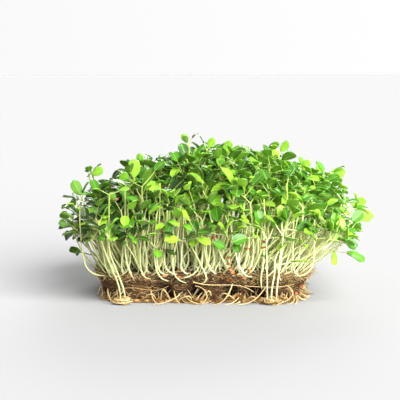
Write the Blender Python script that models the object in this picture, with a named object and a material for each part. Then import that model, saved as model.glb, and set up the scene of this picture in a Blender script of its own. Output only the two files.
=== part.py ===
"""A block of microgreens on its root mat, lifted out of its growing tray. Metres, +Z up.

The origin is the middle of the underside. +X runs along the block's long side and -Y is its front.
The mat is the growing medium, bound by roots. Under it lies the felt of roots that lined the tray.
Each bunch of leafy stems is one solid whose root plug stands in a plain hole in the mat.
"""

import math
import random

import bmesh
import bpy
from mathutils import Matrix, Vector, noise
from mathutils.bvhtree import BVHTree

MM = 0.001
GAP = 0.3 * MM
UP = Vector((0, 0, 1))

# Root mat: a rounded rectangle that narrows towards its foot, as its tray did
MAT_WIDTH = 108 * MM
MAT_DEPTH = 78 * MM
MAT_TOP = 15 * MM
MAT_TAPER = 6 * MM
MAT_CORNER = 16 * MM
MAT_ROUGHNESS = 0.9 * MM
RIM_ROUNDING = 1.6 * MM
MAT_SIDES = 54
MAT_LEVELS = (0, 0.3, 0.65, 0.92, 1)
MAT_TOP_RINGS = (0.75,)

# Hollows in the foot of the front face: middle in X and half width
HOLLOWS = ((-19 * MM, 4.5 * MM), (-4 * MM, 3.8 * MM), (13 * MM, 3.6 * MM), (25 * MM, 5.5 * MM))
HOLLOW_DEPTH = 9 * MM
HOLLOW_TOP = 0.6

# Root felt
FELT_HEIGHT = 1.6 * MM
FELT_REACH = 2.2 * MM
FELT_RAGGEDNESS = 1.3 * MM
# Roots that arch before the front, in millimetres: middle in X, span, height and how far the arch leans
LOOPS = (
    (-27, 8, 4.2, 1.5),
    (-18.5, 5, 6.4, -1),
    (-9.5, 7.5, 3.2, 2),
    (1.5, 5.5, 5.8, 1),
    (12, 8.5, 4.6, -2),
    (22.5, 6, 3, 1.5),
)
LOOP_REACH = 4 * MM
LOOP_RADIUS = 0.45 * MM

# Seed husks on the mat
HUSK_COUNT = 14
HUSK_SIZE = (1.5 * MM, 1.1 * MM, 0.9 * MM)

# Bunches: their spacing, their root plugs, and the fewest plants in each
COLUMNS, ROWS = 6, 4
COLUMN_STEP = 17 * MM
ROW_STEP = 18 * MM
PLUG_RADIUS = 4.6 * MM
PLUG_FOOT = 9 * MM
PLUG_TOP = 16 * MM
PLUG_SIDES = 8
BASE_RING = 2.9 * MM
PLANTS_A_BUNCH = 2
FRONT_PLANTS_A_BUNCH = 5

# Canopy: the height of its leaf tops, how far they fall away towards each edge, and how far it leans to +X
CANOPY_TOP = 74 * MM
CANOPY_MIDDLE = 7 * MM
CANOPY_HALF = 70 * MM
SIDE_FALL = 27 * MM
FRONT_FALL = 17 * MM
BACK_FALL = 9 * MM
CANOPY_LEAN = 4 * MM
SIDE_SPREAD = 1.26
DEPTH_SPREAD = 1.16
# How far leaves reach: lowest and highest X, Y and Z
REACH = ((-74.5 * MM, 88.5 * MM), (-51 * MM, 52 * MM), (4 * MM, 81.5 * MM))

# Stems and leaves
STEM_RADIUS = 0.75 * MM
STEM_SIDES = 3
STEM_STATIONS = 5
FORK_SWELL = 1.4
FORK_STEP = 0.9 * MM
PETIOLE_WIDTH = 0.9 * MM
PETIOLE_THICKNESS = 0.7 * MM
BLADE_THICKNESS = 0.65 * MM
BLADE_RATIO = 0.64
# Share of the blade's length, and share of its width there
BLADE_STATIONS = ((0.28, 0.92), (0.68, 0.97), (1.0, 0.4))
LEAF_SINK = 0.35 * MM
# The furthest that a leaf hangs below its plant's fork
LEAF_HANG = 7 * MM
CLEARANCE = 0.35 * MM
SEED = 7

# Plants that reach past the canopy or stand proud of it, in millimetres: the root's X and Y, the fork's
# X, Y and Z, then the lead leaf's heading in degrees from +X as seen from the front, and its length
OUTER_PLANTS = (
    (45, -6, 74, -9, 40, -6, 10),
    (40, -24, 66.5, -26, 36, -38, 7),
    (44, 10, 74.5, 8, 43, 6, 8.5),
    (38, 6, 62.5, 3, 58, 12, 9),
    (28, 9, 50.5, 6, 59.5, 60, 6.5),
    (27, 24, 57, 14, 58.5, 20, 6),
    (22, -8, 38.5, -3, 70, 55, 6.5),
    (8, 9, 28.5, 6, 64, 100, 6),
    (7, -9, 10.5, -3, 68.5, 70, 7.5),
    (-8, 9, 2, 5, 71.5, 60, 6),
    (-9, -8, -7.5, 0, 74.5, 118, 5.5),
    (-25, -27, -33.5, -30, 59, 91, 9.5),
    (-27, 9, -32.5, 8, 62.5, 92, 6),
    (-42, -10, -61, -12, 48.5, 115, 8.5),
    (-42, 8, -59, 6, 58, 25, 7),
    (-43, 10, -65.5, 12, 40, 168, 8),
    (-45, -24, -63.5, -22, 38.5, 190, 7),
    (-46, -9, -61.5, -6, 20, 165, 5.5),
    (-40, 26, -57.5, 10, 57.5, 155, 6.5),
)
OUTER_LEAF_TILT = math.radians(22)

# Short young plants along the front: the fork's X and Z, in millimetres
YOUNG_PLANTS = ((-44, 31), (-22, 29), (-9, 33), (9, 36), (26, 34), (41, 30))
YOUNG_LEAF = 8 * MM

# Plants rooted before the mat's front face, in millimetres: the knot's X and Y, then each fork's X, Y and Z
EDGE_BUNCHES = (
    ("edge_bunch_left", -39, -39.6, ((-50, -44, 42), (-46, -45, 36))),
    ("edge_bunch_right", 33, -39.6, ((30, -45.5, 34), (34, -46.5, 24), (38, -44.5, 38))),
)
KNOT_SIZE = (5.5 * MM, 2.6 * MM, 2.3 * MM)
EDGE_STEM_SPREAD = 2.2 * MM

COLOURS = {
    "root_mat": ((0.19, 0.12, 0.07), 0.95),
    "root_felt": ((0.58, 0.43, 0.25), 0.9),
    "foliage": ((0.16, 0.42, 0.06), 0.5),
}


def clear_scene():
    for item in list(bpy.data.objects):
        bpy.data.objects.remove(item, do_unlink=True)


def material(name):
    colour, roughness = COLOURS[name]
    made = bpy.data.materials.new(name)
    made.use_nodes = True
    shader = made.node_tree.nodes["Principled BSDF"]
    shader.inputs["Base Color"].default_value = (*colour, 1)
    shader.inputs["Roughness"].default_value = roughness
    return made


def add_object(name, shape, finish=None):
    """Turns a bmesh into an object in the scene, and frees the bmesh."""
    mesh = bpy.data.meshes.new(name)
    bmesh.ops.recalc_face_normals(shape, faces=shape.faces)
    shape.to_mesh(mesh)
    shape.free()
    made = bpy.data.objects.new(name, mesh)
    bpy.context.scene.collection.objects.link(made)
    if finish:
        mesh.materials.append(finish)
    return made


def combine(body, others, operation):
    """Joins the other objects to a body, or cuts them from it, and removes them."""
    group = bpy.data.collections.new("operands")
    bpy.context.scene.collection.children.link(group)
    for other in others:
        bpy.context.scene.collection.objects.unlink(other)
        group.objects.link(other)
    step = body.modifiers.new("Combine", "BOOLEAN")
    step.operation = operation
    step.solver = "MANIFOLD"
    step.operand_type = "COLLECTION"
    step.collection = group
    graph = bpy.context.evaluated_depsgraph_get()
    mesh = bpy.data.meshes.new_from_object(body.evaluated_get(graph))
    body.modifiers.clear()
    body.data = mesh
    for other in others:
        bpy.data.objects.remove(other, do_unlink=True)
    bpy.data.collections.remove(group)
    return body


def solid_from_rings(rings):
    """Extrudes the first ring's face to each ring in turn, and closes the foot."""
    shape = bmesh.new()
    foot = [shape.verts.new(place) for place in rings[0]]
    face = shape.faces.new(foot)
    for ring in rings[1:]:
        face = bmesh.ops.extrude_discrete_faces(shape, faces=[face])["faces"][0]
        for corner, place in zip(face.verts, ring):
            corner.co = place
    shape.faces.new(reversed(foot))
    bmesh.ops.recalc_face_normals(shape, faces=shape.faces)
    return shape


def rounded_rectangle(half_x, half_y, corner, share):
    """The point at this share of the way round, anticlockwise from the middle of the right side."""
    straight_x = 2 * (half_x - corner)
    straight_y = 2 * (half_y - corner)
    arc = math.pi / 2 * corner
    around = (share % 1) * 2 * (straight_x + straight_y + 2 * arc) + straight_y / 2
    corners = ((1, 1, straight_y), (-1, 1, straight_x), (-1, -1, straight_y), (1, -1, straight_x))
    for turn, (side_x, side_y, straight) in enumerate(corners * 2):
        centre = Vector((side_x * (half_x - corner), side_y * (half_y - corner)))
        start = Vector((math.cos(turn * math.pi / 2), math.sin(turn * math.pi / 2)))
        along = Vector((-start.y, start.x))
        if around <= straight:
            return centre + start * corner - along * (straight - around)
        around -= straight
        if around <= arc:
            angle = turn * math.pi / 2 + around / corner
            return centre + Vector((math.cos(angle), math.sin(angle))) * corner
        around -= arc
    raise ValueError("the outline has no such point")


def rough(x, y, z, scale):
    """Smooth noise from -1 to 1, with bumps about this far apart."""
    return noise.noise(Vector((x, y, z)) / scale)


def hollow_at(x, y, level):
    """How far the foot of the front face is eaten away here."""
    if y > 0 or level > HOLLOW_TOP:
        return 0.0
    depth = 0.0
    for middle, half in HOLLOWS:
        depth += HOLLOW_DEPTH * math.exp(-(((x - middle) / half) ** 2) * 1.6)
    return depth * (1 - level / HOLLOW_TOP) ** 0.5


def mat_ring(level):
    foot = FELT_HEIGHT + GAP
    drawn_in = MAT_TAPER * (1 - level) ** 0.8
    if level == 1:
        drawn_in = RIM_ROUNDING
    ring = []
    for step in range(MAT_SIDES):
        flat = rounded_rectangle(
            MAT_WIDTH / 2 - drawn_in, MAT_DEPTH / 2 - drawn_in, MAT_CORNER - drawn_in / 2, step / MAT_SIDES
        )
        z = foot + (MAT_TOP - foot) * level
        outward = flat.normalized()
        flat += outward * MAT_ROUGHNESS * rough(flat.x, flat.y, z, 9 * MM)
        if flat.y < 0:
            flat.y += hollow_at(flat.x, flat.y, level)
        ring.append(Vector((flat.x, flat.y, z)))
    return ring


def mat_top_ring(share):
    ring = []
    for place in mat_ring(1):
        z = MAT_TOP + 0.45 * MM * rough(place.x * share, place.y * share, 0, 11 * MM)
        ring.append(Vector((place.x * share, place.y * share, z)))
    return ring


def bunch_spots():
    """Where each bunch's plug stands, row by row from the front left."""
    spots = []
    for row in range(ROWS):
        for column in range(COLUMNS):
            x = (column - (COLUMNS - 1) / 2) * COLUMN_STEP
            y = (row - (ROWS - 1) / 2) * ROW_STEP
            spots.append(Vector((x, y)))
    return spots


def plug(spot, radius, foot, top):
    shape = bmesh.new()
    bmesh.ops.create_cone(
        shape,
        cap_ends=True,
        segments=PLUG_SIDES,
        radius1=radius,
        radius2=radius,
        depth=top - foot,
        matrix=Matrix.Translation((spot.x, spot.y, (foot + top) / 2)),
    )
    return shape


def husk(place, turn):
    shape = bmesh.new()
    bmesh.ops.create_icosphere(shape, subdivisions=1, radius=1)
    bmesh.ops.transform(
        shape,
        matrix=Matrix.Translation(place) @ Matrix.Rotation(turn, 4, "Z") @ Matrix.Diagonal((*HUSK_SIZE, 1)),
        verts=shape.verts,
    )
    return shape


def husk_places():
    """Spots on the rim and the top, clear of the plugs, more of them towards the front."""
    draw = random.Random(SEED)
    places = []
    while len(places) < HUSK_COUNT:
        x = draw.uniform(-0.44, 0.44) * MAT_WIDTH
        y = (draw.random() ** 1.6 - 0.5) * 0.86 * MAT_DEPTH
        near = min((spot - Vector((x, y))).length for spot in bunch_spots())
        if near > PLUG_RADIUS + 2.2 * MM:
            places.append((Vector((x, y, MAT_TOP + 0.3 * MM)), draw.uniform(0, math.pi)))
    return places


def make_root_mat(finish):
    rings = [mat_ring(level) for level in MAT_LEVELS]
    rings += [mat_top_ring(share) for share in MAT_TOP_RINGS]
    mat = add_object("root_mat", solid_from_rings(rings), finish)
    combine(mat, [add_object("husk", husk(*place)) for place in husk_places()], "UNION")
    holes = [plug(spot, PLUG_RADIUS + GAP, PLUG_FOOT - GAP, MAT_TOP + 5 * MM) for spot in bunch_spots()]
    combine(mat, [add_object("hole", hole) for hole in holes], "DIFFERENCE")
    return mat


def felt_ring(z):
    ring = []
    half_x = MAT_WIDTH / 2 - MAT_TAPER + FELT_REACH
    half_y = MAT_DEPTH / 2 - MAT_TAPER + FELT_REACH
    for step in range(MAT_SIDES):
        flat = rounded_rectangle(half_x, half_y, MAT_CORNER - MAT_TAPER / 2, step / MAT_SIDES)
        flat += flat.normalized() * FELT_RAGGEDNESS * rough(flat.x, flat.y, 0, 4.5 * MM)
        ring.append(Vector((flat.x, flat.y, z)))
    return ring


def root_loop(middle, span, height, lean):
    """A root that leaves the felt's front rim, arches before the mat and goes back in."""
    rim = -(MAT_DEPTH / 2 - MAT_TAPER + FELT_REACH) + 1.2 * MM
    line = []
    for share in (0, 0.2, 0.4, 0.6, 0.8, 1):
        rise = math.sin(math.pi * share)
        x = middle + (share - 0.5) * span + lean * rise
        line.append(Vector((x * MM, rim - LOOP_REACH * rise, (0.8 + height * rise) * MM)))
    return solid_from_rings(stem_rings(line, LOOP_RADIUS))


def make_root_felt(finish):
    felt = add_object("root_felt", solid_from_rings([felt_ring(0), felt_ring(FELT_HEIGHT)]), finish)
    loops = [add_object("loop", root_loop(*loop)) for loop in LOOPS]
    return combine(felt, loops, "UNION")


def bezier(start, leave, arrive, end, stations):
    line = []
    for step in range(stations):
        t = step / (stations - 1)
        s = 1 - t
        line.append(start * s**3 + leave * 3 * s * s * t + arrive * 3 * s * t * t + end * t**3)
    return line


def directions(line):
    """The heading at each point of a line."""
    ends = [line[0], *line, line[-1]]
    return [(ends[i + 2] - ends[i]).normalized() for i in range(len(line))]


def stem_rings(line, radius, swell=1.0):
    """Rings of few sides round a line, without twist, the last of them swollen."""
    rings = []
    side = Vector((1, 0, 0))
    for place, heading in zip(line, directions(line)):
        if place is line[-1]:
            radius *= swell
        side = (side - heading * side.dot(heading)).normalized()
        other = heading.cross(side)
        ring = []
        for corner in range(STEM_SIDES):
            angle = 2 * math.pi * corner / STEM_SIDES
            ring.append(place + (side * math.cos(angle) + other * math.sin(angle)) * radius)
        rings.append(ring)
    return rings


def leaf_rings(leaf, swell=0.0):
    """Flat rings along a leaf: its petiole first, then its blade."""
    start, heading, across, petiole, length, width, droop = leaf
    places = [start - heading * LEAF_SINK, start + heading * petiole]
    sizes = [(PETIOLE_WIDTH, PETIOLE_THICKNESS)] * 2
    headings = [heading, heading]
    done = 0.0
    bend = heading
    for share, spread in BLADE_STATIONS:
        bend = Matrix.Rotation(droop * (share - done), 3, across) @ bend
        places.append(places[-1] + bend * length * (share - done))
        sizes.append((width * spread, BLADE_THICKNESS))
        headings.append(bend)
        done = share
    rings = []
    for place, (wide, thick), along in zip(places, sizes, headings):
        side = across * (wide / 2 + swell)
        lift = along.cross(across) * (thick / 2 + swell)
        rings.append([place - side - lift, place + side - lift, place + side + lift, place - side + lift])
    return rings


class Room:
    """What is placed so far, so that the next stem or leaf can be kept clear of it."""

    def __init__(self):
        self.taken = []

    @staticmethod
    def box(rings):
        points = [point for ring in rings for point in ring]
        low = Vector([min(point[axis] for point in points) for axis in range(3)])
        high = Vector([max(point[axis] for point in points) for axis in range(3)])
        return low, high

    @staticmethod
    def tree(rings):
        sides = len(rings[0])
        faces = [list(range(sides)), list(range((len(rings) - 1) * sides, len(rings) * sides))]
        for step in range(len(rings) - 1):
            for corner in range(sides):
                first, second = step * sides + corner, step * sides + (corner + 1) % sides
                faces.append([first, second, second + sides, first + sides])
        return BVHTree.FromPolygons([point for ring in rings for point in ring], faces)

    def free(self, rings, plant):
        """True if these rings meet nothing of another plant's."""
        low, high = self.box(rings)
        tree = None
        for owner, other_low, other_high, other in self.taken:
            if owner == plant:
                continue
            if any(low[a] > other_high[a] or high[a] < other_low[a] for a in range(3)):
                continue
            tree = tree or self.tree(rings)
            if tree.overlap(other):
                return False
        return True

    def take(self, rings, plant):
        self.taken.append((plant, *self.box(rings), self.tree(rings)))


def in_reach(rings):
    points = [point for ring in rings for point in ring]
    return all(low < point[axis] < high for point in points for axis, (low, high) in enumerate(REACH))


def lowest(rings):
    return min(point.z for ring in rings for point in ring)


def canopy_height(x, y):
    side = min(1.0, abs(x - CANOPY_MIDDLE) / CANOPY_HALF)
    front = max(0.0, -y) / (MAT_DEPTH / 2)
    back = max(0.0, y) / (MAT_DEPTH / 2)
    return CANOPY_TOP - SIDE_FALL * side**2.4 - FRONT_FALL * front**1.5 - BACK_FALL * back**2


def stem_line(draw, base, fork):
    """From the root to the fork: off to one side at first, most so along the front, then upwards."""
    height = fork.z - base.z
    swing = 0.5 if base.y < -MAT_DEPTH / 4 else 0.2
    leave = base + Vector((draw.uniform(-swing, swing), draw.uniform(-0.1, 0.1), 0.3)) * height
    lean = (fork - base).normalized()
    arrive = fork - (lean + UP * 0.5).normalized() * height * 0.4
    return bezier(base, leave, arrive, fork, STEM_STATIONS)


def drawn_leaf(draw, fork, axis, turn, length):
    """A leaf that leaves the fork at this turn round the stem's axis."""
    side = axis.orthogonal().normalized()
    radial = Matrix.Rotation(turn, 3, axis) @ side
    lean = math.radians(draw.uniform(22, 78))
    heading = axis * math.cos(lean) + radial * math.sin(lean)
    across = axis.cross(radial)
    across = Matrix.Rotation(math.radians(draw.uniform(-35, 35)), 3, heading) @ across
    petiole = draw.uniform(0.45, 1.1) * length
    width = length * BLADE_RATIO * draw.uniform(0.9, 1.12)
    droop = math.radians(draw.uniform(10, 60))
    return fork, heading, across, petiole, length, width, droop


def lead_leaf(fork, degrees, length):
    """The leaf that an outer plant shows to the front."""
    angle = math.radians(degrees)
    heading = Vector((math.cos(angle), 0, math.sin(angle)))
    facing = Vector((0, -math.cos(OUTER_LEAF_TILT), math.sin(OUTER_LEAF_TILT)))
    across = heading.cross(facing).normalized()
    return fork, heading, across, 0.25 * length, length, length * BLADE_RATIO, math.radians(12)


def wanted_plants():
    """Every plant as its bunch, its root, its fork, its lead leaf or None, and its leaves' length."""
    spots = bunch_spots()
    wanted = []
    held = [0] * len(spots)

    def nearest(x, y):
        return min(range(len(spots)), key=lambda i: (spots[i] - Vector((x, y))).length)

    def root_in(bunch, number):
        angle = 2.4 * number + 0.7 * bunch
        offset = Vector((math.cos(angle), math.sin(angle))) * BASE_RING
        return Vector((spots[bunch].x + offset.x, spots[bunch].y + offset.y, PLUG_TOP - 1.5 * MM))

    for x, y, fork_x, fork_y, fork_z, degrees, length in OUTER_PLANTS:
        bunch = nearest(x * MM, y * MM)
        fork = Vector((fork_x, fork_y, fork_z)) * MM
        wanted.append((bunch, root_in(bunch, held[bunch]), fork, (degrees, length * MM), 0.9 * length * MM))
        held[bunch] += 1
    for fork_x, fork_z in YOUNG_PLANTS:
        bunch = nearest(fork_x * MM, -MAT_DEPTH / 2)
        fork = Vector((fork_x * MM, -MAT_DEPTH / 2 - 3 * MM, fork_z * MM))
        wanted.append((bunch, root_in(bunch, held[bunch]), fork, None, YOUNG_LEAF))
        held[bunch] += 1
    for bunch in range(len(spots)):
        while held[bunch] < (FRONT_PLANTS_A_BUNCH if bunch < COLUMNS else PLANTS_A_BUNCH):
            wanted.append((bunch, root_in(bunch, held[bunch]), None, None, None))
            held[bunch] += 1
    return wanted


def canopy_fork(draw, base):
    """A fork under the canopy's top, spread outwards from its root."""
    x = base.x * SIDE_SPREAD + CANOPY_LEAN + draw.uniform(-5, 5) * MM
    y = base.y * DEPTH_SPREAD + draw.uniform(-5, 5) * MM
    return Vector((x, y, canopy_height(x, y) - draw.uniform(5, 18) * MM))


def grow_stems(room):
    """Places every stem, each clear of the ones before it."""
    plants = []
    for number, (bunch, base, fork, lead, length) in enumerate(wanted_plants()):
        draw = random.Random(SEED * 1000 + number)
        for _ in range(60):
            end = fork or canopy_fork(draw, base)
            line = stem_line(draw, base, end)
            if room.free(stem_rings(line[1:], STEM_RADIUS + CLEARANCE), number):
                room.take(stem_rings(line, STEM_RADIUS, FORK_SWELL), number)
                size = length or draw.uniform(8.5, 11) * MM
                plants.append((number, bunch, line, lead, size, draw))
                break
    return plants


def grow_leaves(room, plant, line, lead, length, draw):
    """The leaves of one plant that fit clear of the others, spread round its stem."""
    fork = line[-1]
    axis = directions(line)[-1]
    count = 2 if lead else draw.choice((3, 3, 3, 4))
    first = draw.uniform(0, 2 * math.pi)
    leaves = []
    choices = [[lead_leaf(fork, *lead)]] if lead else []
    for step in range(count):
        turn = first + 2 * math.pi * step / count
        start = fork - axis * FORK_STEP * (step + 0.5)
        tries = [turn + draw.uniform(-0.5, 0.5) for _ in range(14)]
        choices.append([drawn_leaf(draw, start, axis, t, length * draw.uniform(0.85, 1.05)) for t in tries])
    for tries in choices:
        for leaf in tries:
            rings = leaf_rings(leaf)
            held_up = in_reach(rings) and lowest(rings) > fork.z - LEAF_HANG
            if held_up and room.free(leaf_rings(leaf, CLEARANCE), plant):
                room.take(rings, plant)
                leaves.append(leaf)
                break
    return leaves


def make_bunches(room, finish):
    plants = grow_stems(room)
    shapes = {}
    for number, bunch, line, lead, length, draw in plants:
        parts = shapes.setdefault(bunch, [])
        parts.append(solid_from_rings(stem_rings(line, STEM_RADIUS, FORK_SWELL)))
        for leaf in grow_leaves(room, number, line, lead, length, draw):
            parts.append(solid_from_rings(leaf_rings(leaf)))
    for bunch, spot in enumerate(bunch_spots()):
        root = add_object(f"bunch_{bunch + 1:02d}", plug(spot, PLUG_RADIUS, PLUG_FOOT, PLUG_TOP), finish)
        combine(root, [add_object("growth", part) for part in shapes[bunch]], "UNION")


def make_edge_bunch(room, name, x, y, forks, finish, first_number):
    """Plants whose roots are knotted together on the ground, before the mat's front face."""
    knot = bmesh.new()
    bmesh.ops.create_icosphere(knot, subdivisions=2, radius=1)
    centre = Vector((x * MM, y * MM, KNOT_SIZE[2]))
    bmesh.ops.transform(
        knot, matrix=Matrix.Translation(centre) @ Matrix.Diagonal((*KNOT_SIZE, 1)), verts=knot.verts
    )
    parts = []
    for step, fork in enumerate(forks):
        number = first_number + step
        draw = random.Random(SEED * 1000 + number)
        base = centre + Vector(((step - (len(forks) - 1) / 2) * EDGE_STEM_SPREAD, -1 * MM, 0))
        end = Vector(fork) * MM
        rise = end.z - base.z
        leave = base + Vector((0, -0.08, 0.35)) * rise
        line = bezier(base, leave, end - UP * rise * 0.4, end, STEM_STATIONS)
        room.take(stem_rings(line, STEM_RADIUS, FORK_SWELL), number)
        parts.append(solid_from_rings(stem_rings(line, STEM_RADIUS, FORK_SWELL)))
        for leaf in grow_leaves(room, number, line, None, YOUNG_LEAF, draw):
            parts.append(solid_from_rings(leaf_rings(leaf)))
    root = add_object(name, knot, finish)
    return combine(root, [add_object("growth", part) for part in parts], "UNION")


def main():
    clear_scene()
    finishes = {name: material(name) for name in COLOURS}
    make_root_mat(finishes["root_mat"])
    make_root_felt(finishes["root_felt"])
    room = Room()
    for order, (name, x, y, forks) in enumerate(EDGE_BUNCHES):
        make_edge_bunch(room, name, x, y, forks, finishes["foliage"], 900 + 10 * order)
    make_bunches(room, finishes["foliage"])


main()
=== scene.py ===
"""The looks of a block of microgreens on its root mat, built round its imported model. Metres, +Z up.

The plants of the model are grown again by the same rule and the same draws, with finer leaves and stems.
Younger plants then fill the room between them, and the mat gets its fibres, roots, skins and husks.
"""

import itertools
import math
import random

import bmesh
import bpy
from mathutils import Matrix, Vector, noise
from mathutils.bvhtree import BVHTree


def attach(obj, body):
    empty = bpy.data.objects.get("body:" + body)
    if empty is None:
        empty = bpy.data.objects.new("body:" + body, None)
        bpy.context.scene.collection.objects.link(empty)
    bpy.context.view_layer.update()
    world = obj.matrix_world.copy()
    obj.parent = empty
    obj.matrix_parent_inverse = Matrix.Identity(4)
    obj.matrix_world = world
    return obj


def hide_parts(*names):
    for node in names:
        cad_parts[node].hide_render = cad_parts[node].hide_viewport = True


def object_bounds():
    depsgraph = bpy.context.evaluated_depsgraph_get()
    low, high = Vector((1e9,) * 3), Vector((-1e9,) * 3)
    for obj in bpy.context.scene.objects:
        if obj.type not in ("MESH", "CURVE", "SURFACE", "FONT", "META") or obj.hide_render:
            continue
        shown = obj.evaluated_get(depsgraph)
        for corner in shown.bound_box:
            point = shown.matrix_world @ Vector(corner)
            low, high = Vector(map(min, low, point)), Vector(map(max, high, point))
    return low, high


bl_info = {
    "name": "Microgreens Block",
    "version": (1, 0, 0),
    "blender": (4, 5, 0),
    "location": "View3D > Sidebar > Microgreens",
    "description": "Dresses a block of microgreens with leaves, stems, roots and a fibrous mat",
    "category": "Add Mesh",
}

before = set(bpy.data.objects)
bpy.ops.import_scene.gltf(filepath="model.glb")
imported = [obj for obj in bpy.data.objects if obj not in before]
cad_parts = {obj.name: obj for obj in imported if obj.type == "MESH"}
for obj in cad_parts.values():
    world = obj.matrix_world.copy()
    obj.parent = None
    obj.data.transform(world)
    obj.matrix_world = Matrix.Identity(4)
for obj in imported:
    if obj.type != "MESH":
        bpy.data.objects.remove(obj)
CAD_LOW, CAD_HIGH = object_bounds()

MM = 0.001
UP = Vector((0, 0, 1))

# The root mat and the felt under it, as the model has them
MAT_WIDTH = 108 * MM
MAT_DEPTH = 78 * MM
MAT_TOP = 15 * MM
MAT_TAPER = 6 * MM
MAT_CORNER = 16 * MM
MAT_ROUGHNESS = 0.9 * MM
MAT_LUMP = 9 * MM
RIM_ROUNDING = 1.6 * MM
RIM_START, RIM_SHARE = 0.92, 0.08
HOLLOWS = ((-19 * MM, 4.5 * MM), (-4 * MM, 3.8 * MM), (13 * MM, 3.6 * MM), (25 * MM, 5.5 * MM))
HOLLOW_DEPTH = 9 * MM
HOLLOW_STEEPNESS = 1.6
HOLLOW_TOP = 0.6
GAP = 0.3 * MM
FELT_HEIGHT = 1.6 * MM
FELT_REACH = 2.2 * MM
FELT_RAGGEDNESS = 1.3 * MM
# Roots that arch before the front, in millimetres: middle in X, span, height and how far the arch leans
LOOPS = (
    (-27, 8, 4.2, 1.5),
    (-18.5, 5, 6.4, -1),
    (-9.5, 7.5, 3.2, 2),
    (1.5, 5.5, 5.8, 1),
    (12, 8.5, 4.6, -2),
    (22.5, 6, 3, 1.5),
)
LOOP_REACH = 4 * MM

# The plants' rule, as the model has it
COLUMNS, ROWS = 6, 4
COLUMN_STEP = 17 * MM
ROW_STEP = 18 * MM
PLUG_TOP = 16 * MM
BASE_RING = 2.9 * MM
ROOT_SINK = 1.5 * MM
ROOT_TURN = 2.4
BUNCH_TURN = 0.7
PLANTS_A_BUNCH = 2
FRONT_PLANTS_A_BUNCH = 5
CANOPY_TOP = 74 * MM
CANOPY_MIDDLE = 7 * MM
CANOPY_HALF = 70 * MM
SIDE_FALL = 27 * MM
FRONT_FALL = 17 * MM
BACK_FALL = 9 * MM
CANOPY_LEAN = 4 * MM
SIDE_SPREAD = 1.26
DEPTH_SPREAD = 1.16
REACH = ((-74.5 * MM, 88.5 * MM), (-51 * MM, 52 * MM), (4 * MM, 81.5 * MM))
STEM_RADIUS = 0.75 * MM
STEM_SIDES = 3
STEM_STATIONS = 5
FORK_SWELL = 1.4
FORK_STEP = 0.9 * MM
PETIOLE_WIDTH = 0.9 * MM
PETIOLE_THICKNESS = 0.7 * MM
BLADE_THICKNESS = 0.65 * MM
BLADE_RATIO = 0.64
BLADE_STATIONS = ((0.28, 0.92), (0.68, 0.97), (1.0, 0.4))
LEAF_SINK = 0.35 * MM
LEAF_HANG = 7 * MM
CLEARANCE = 0.35 * MM
STEM_TRIES = 60
LEAF_TRIES = 14
SEED = 7
# The plants that give the block its outline, in millimetres: X and Y of a spot in the plant's patch, X, Y and
# Z of its fork, the way that its lead leaf points, in degrees up from the right, and that leaf's length
OUTER_PLANTS = (
    (45, -6, 74, -9, 40, -6, 10),
    (40, -24, 66.5, -26, 36, -38, 7),
    (44, 10, 74.5, 8, 43, 6, 8.5),
    (38, 6, 62.5, 3, 58, 12, 9),
    (28, 9, 50.5, 6, 59.5, 60, 6.5),
    (27, 24, 57, 14, 58.5, 20, 6),
    (22, -8, 38.5, -3, 70, 55, 6.5),
    (8, 9, 28.5, 6, 64, 100, 6),
    (7, -9, 10.5, -3, 68.5, 70, 7.5),
    (-8, 9, 2, 5, 71.5, 60, 6),
    (-9, -8, -7.5, 0, 74.5, 118, 5.5),
    (-25, -27, -33.5, -30, 59, 91, 9.5),
    (-27, 9, -32.5, 8, 62.5, 92, 6),
    (-42, -10, -61, -12, 48.5, 115, 8.5),
    (-42, 8, -59, 6, 58, 25, 7),
    (-43, 10, -65.5, 12, 40, 168, 8),
    (-45, -24, -63.5, -22, 38.5, 190, 7),
    (-46, -9, -61.5, -6, 20, 165, 5.5),
    (-40, 26, -57.5, 10, 57.5, 155, 6.5),
)
OUTER_LEAF_TILT = math.radians(22)
# Low plants along the front: the X and Z of each one's fork, in millimetres
YOUNG_PLANTS = ((-44, 31), (-22, 29), (-9, 33), (9, 36), (26, 34), (41, 30))
YOUNG_LEAF = 8 * MM
# Plants rooted before the mat: the node, then the knot's X and Y and the fork of each stem, in millimetres
EDGE_BUNCHES = (
    ("edge_bunch_left", -39, -39.6, ((-50, -44, 42), (-46, -45, 36))),
    ("edge_bunch_right", 33, -39.6, ((30, -45.5, 34), (34, -46.5, 24), (38, -44.5, 38))),
)
KNOT_SIZE = (5.5 * MM, 2.6 * MM, 2.3 * MM)
EDGE_STEM_SPREAD = 2.2 * MM

# Each kind of plant counts on from its own number, which seeds its draws
EDGE_NUMBER, FILLER_NUMBER, RIM_NUMBER, SWEEP_NUMBER = 900, 1000, 5000, 6000
# Size of the cells by which what is placed is filed
CELL = 8 * MM

# Finer pieces
STEM_FINE_STATIONS = 11
STEM_FINE_SIDES = 6
PETIOLE_STATIONS = 4
PETIOLE_SIDES = 4
BLADE_COLUMNS = 4
# Share of the blade's length, and share of its width there
BLADE_ROWS = (
    (0, 0.08), (0.07, 0.34), (0.2, 0.7), (0.38, 0.94), (0.56, 1.0),
    (0.74, 0.94), (0.88, 0.76), (0.97, 0.48), (1, 0.2),
)
MAT_FINE_SIDES = 260
MAT_FINE_LEVELS = 13
MAT_FINE_TOP_RINGS = (0.965, 0.93, 0.88, 0.81, 0.73, 0.64, 0.54, 0.43, 0.31, 0.18, 0.07)
# Reach and depth of the mat's coarse and fine crumbs
COARSE_CRUMB, COARSE_CRUMB_DEPTH = 3.2 * MM, 0.55 * MM
FINE_CRUMB, FINE_CRUMB_DEPTH = 1.3 * MM, 0.35 * MM
FILLER_STEM_RADIUS = 0.34 * MM
FILLER_TRIES = 14
FILLER_LEAF_TRIES = 10
FILLER_CLEARANCE = 0.05 * MM
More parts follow.
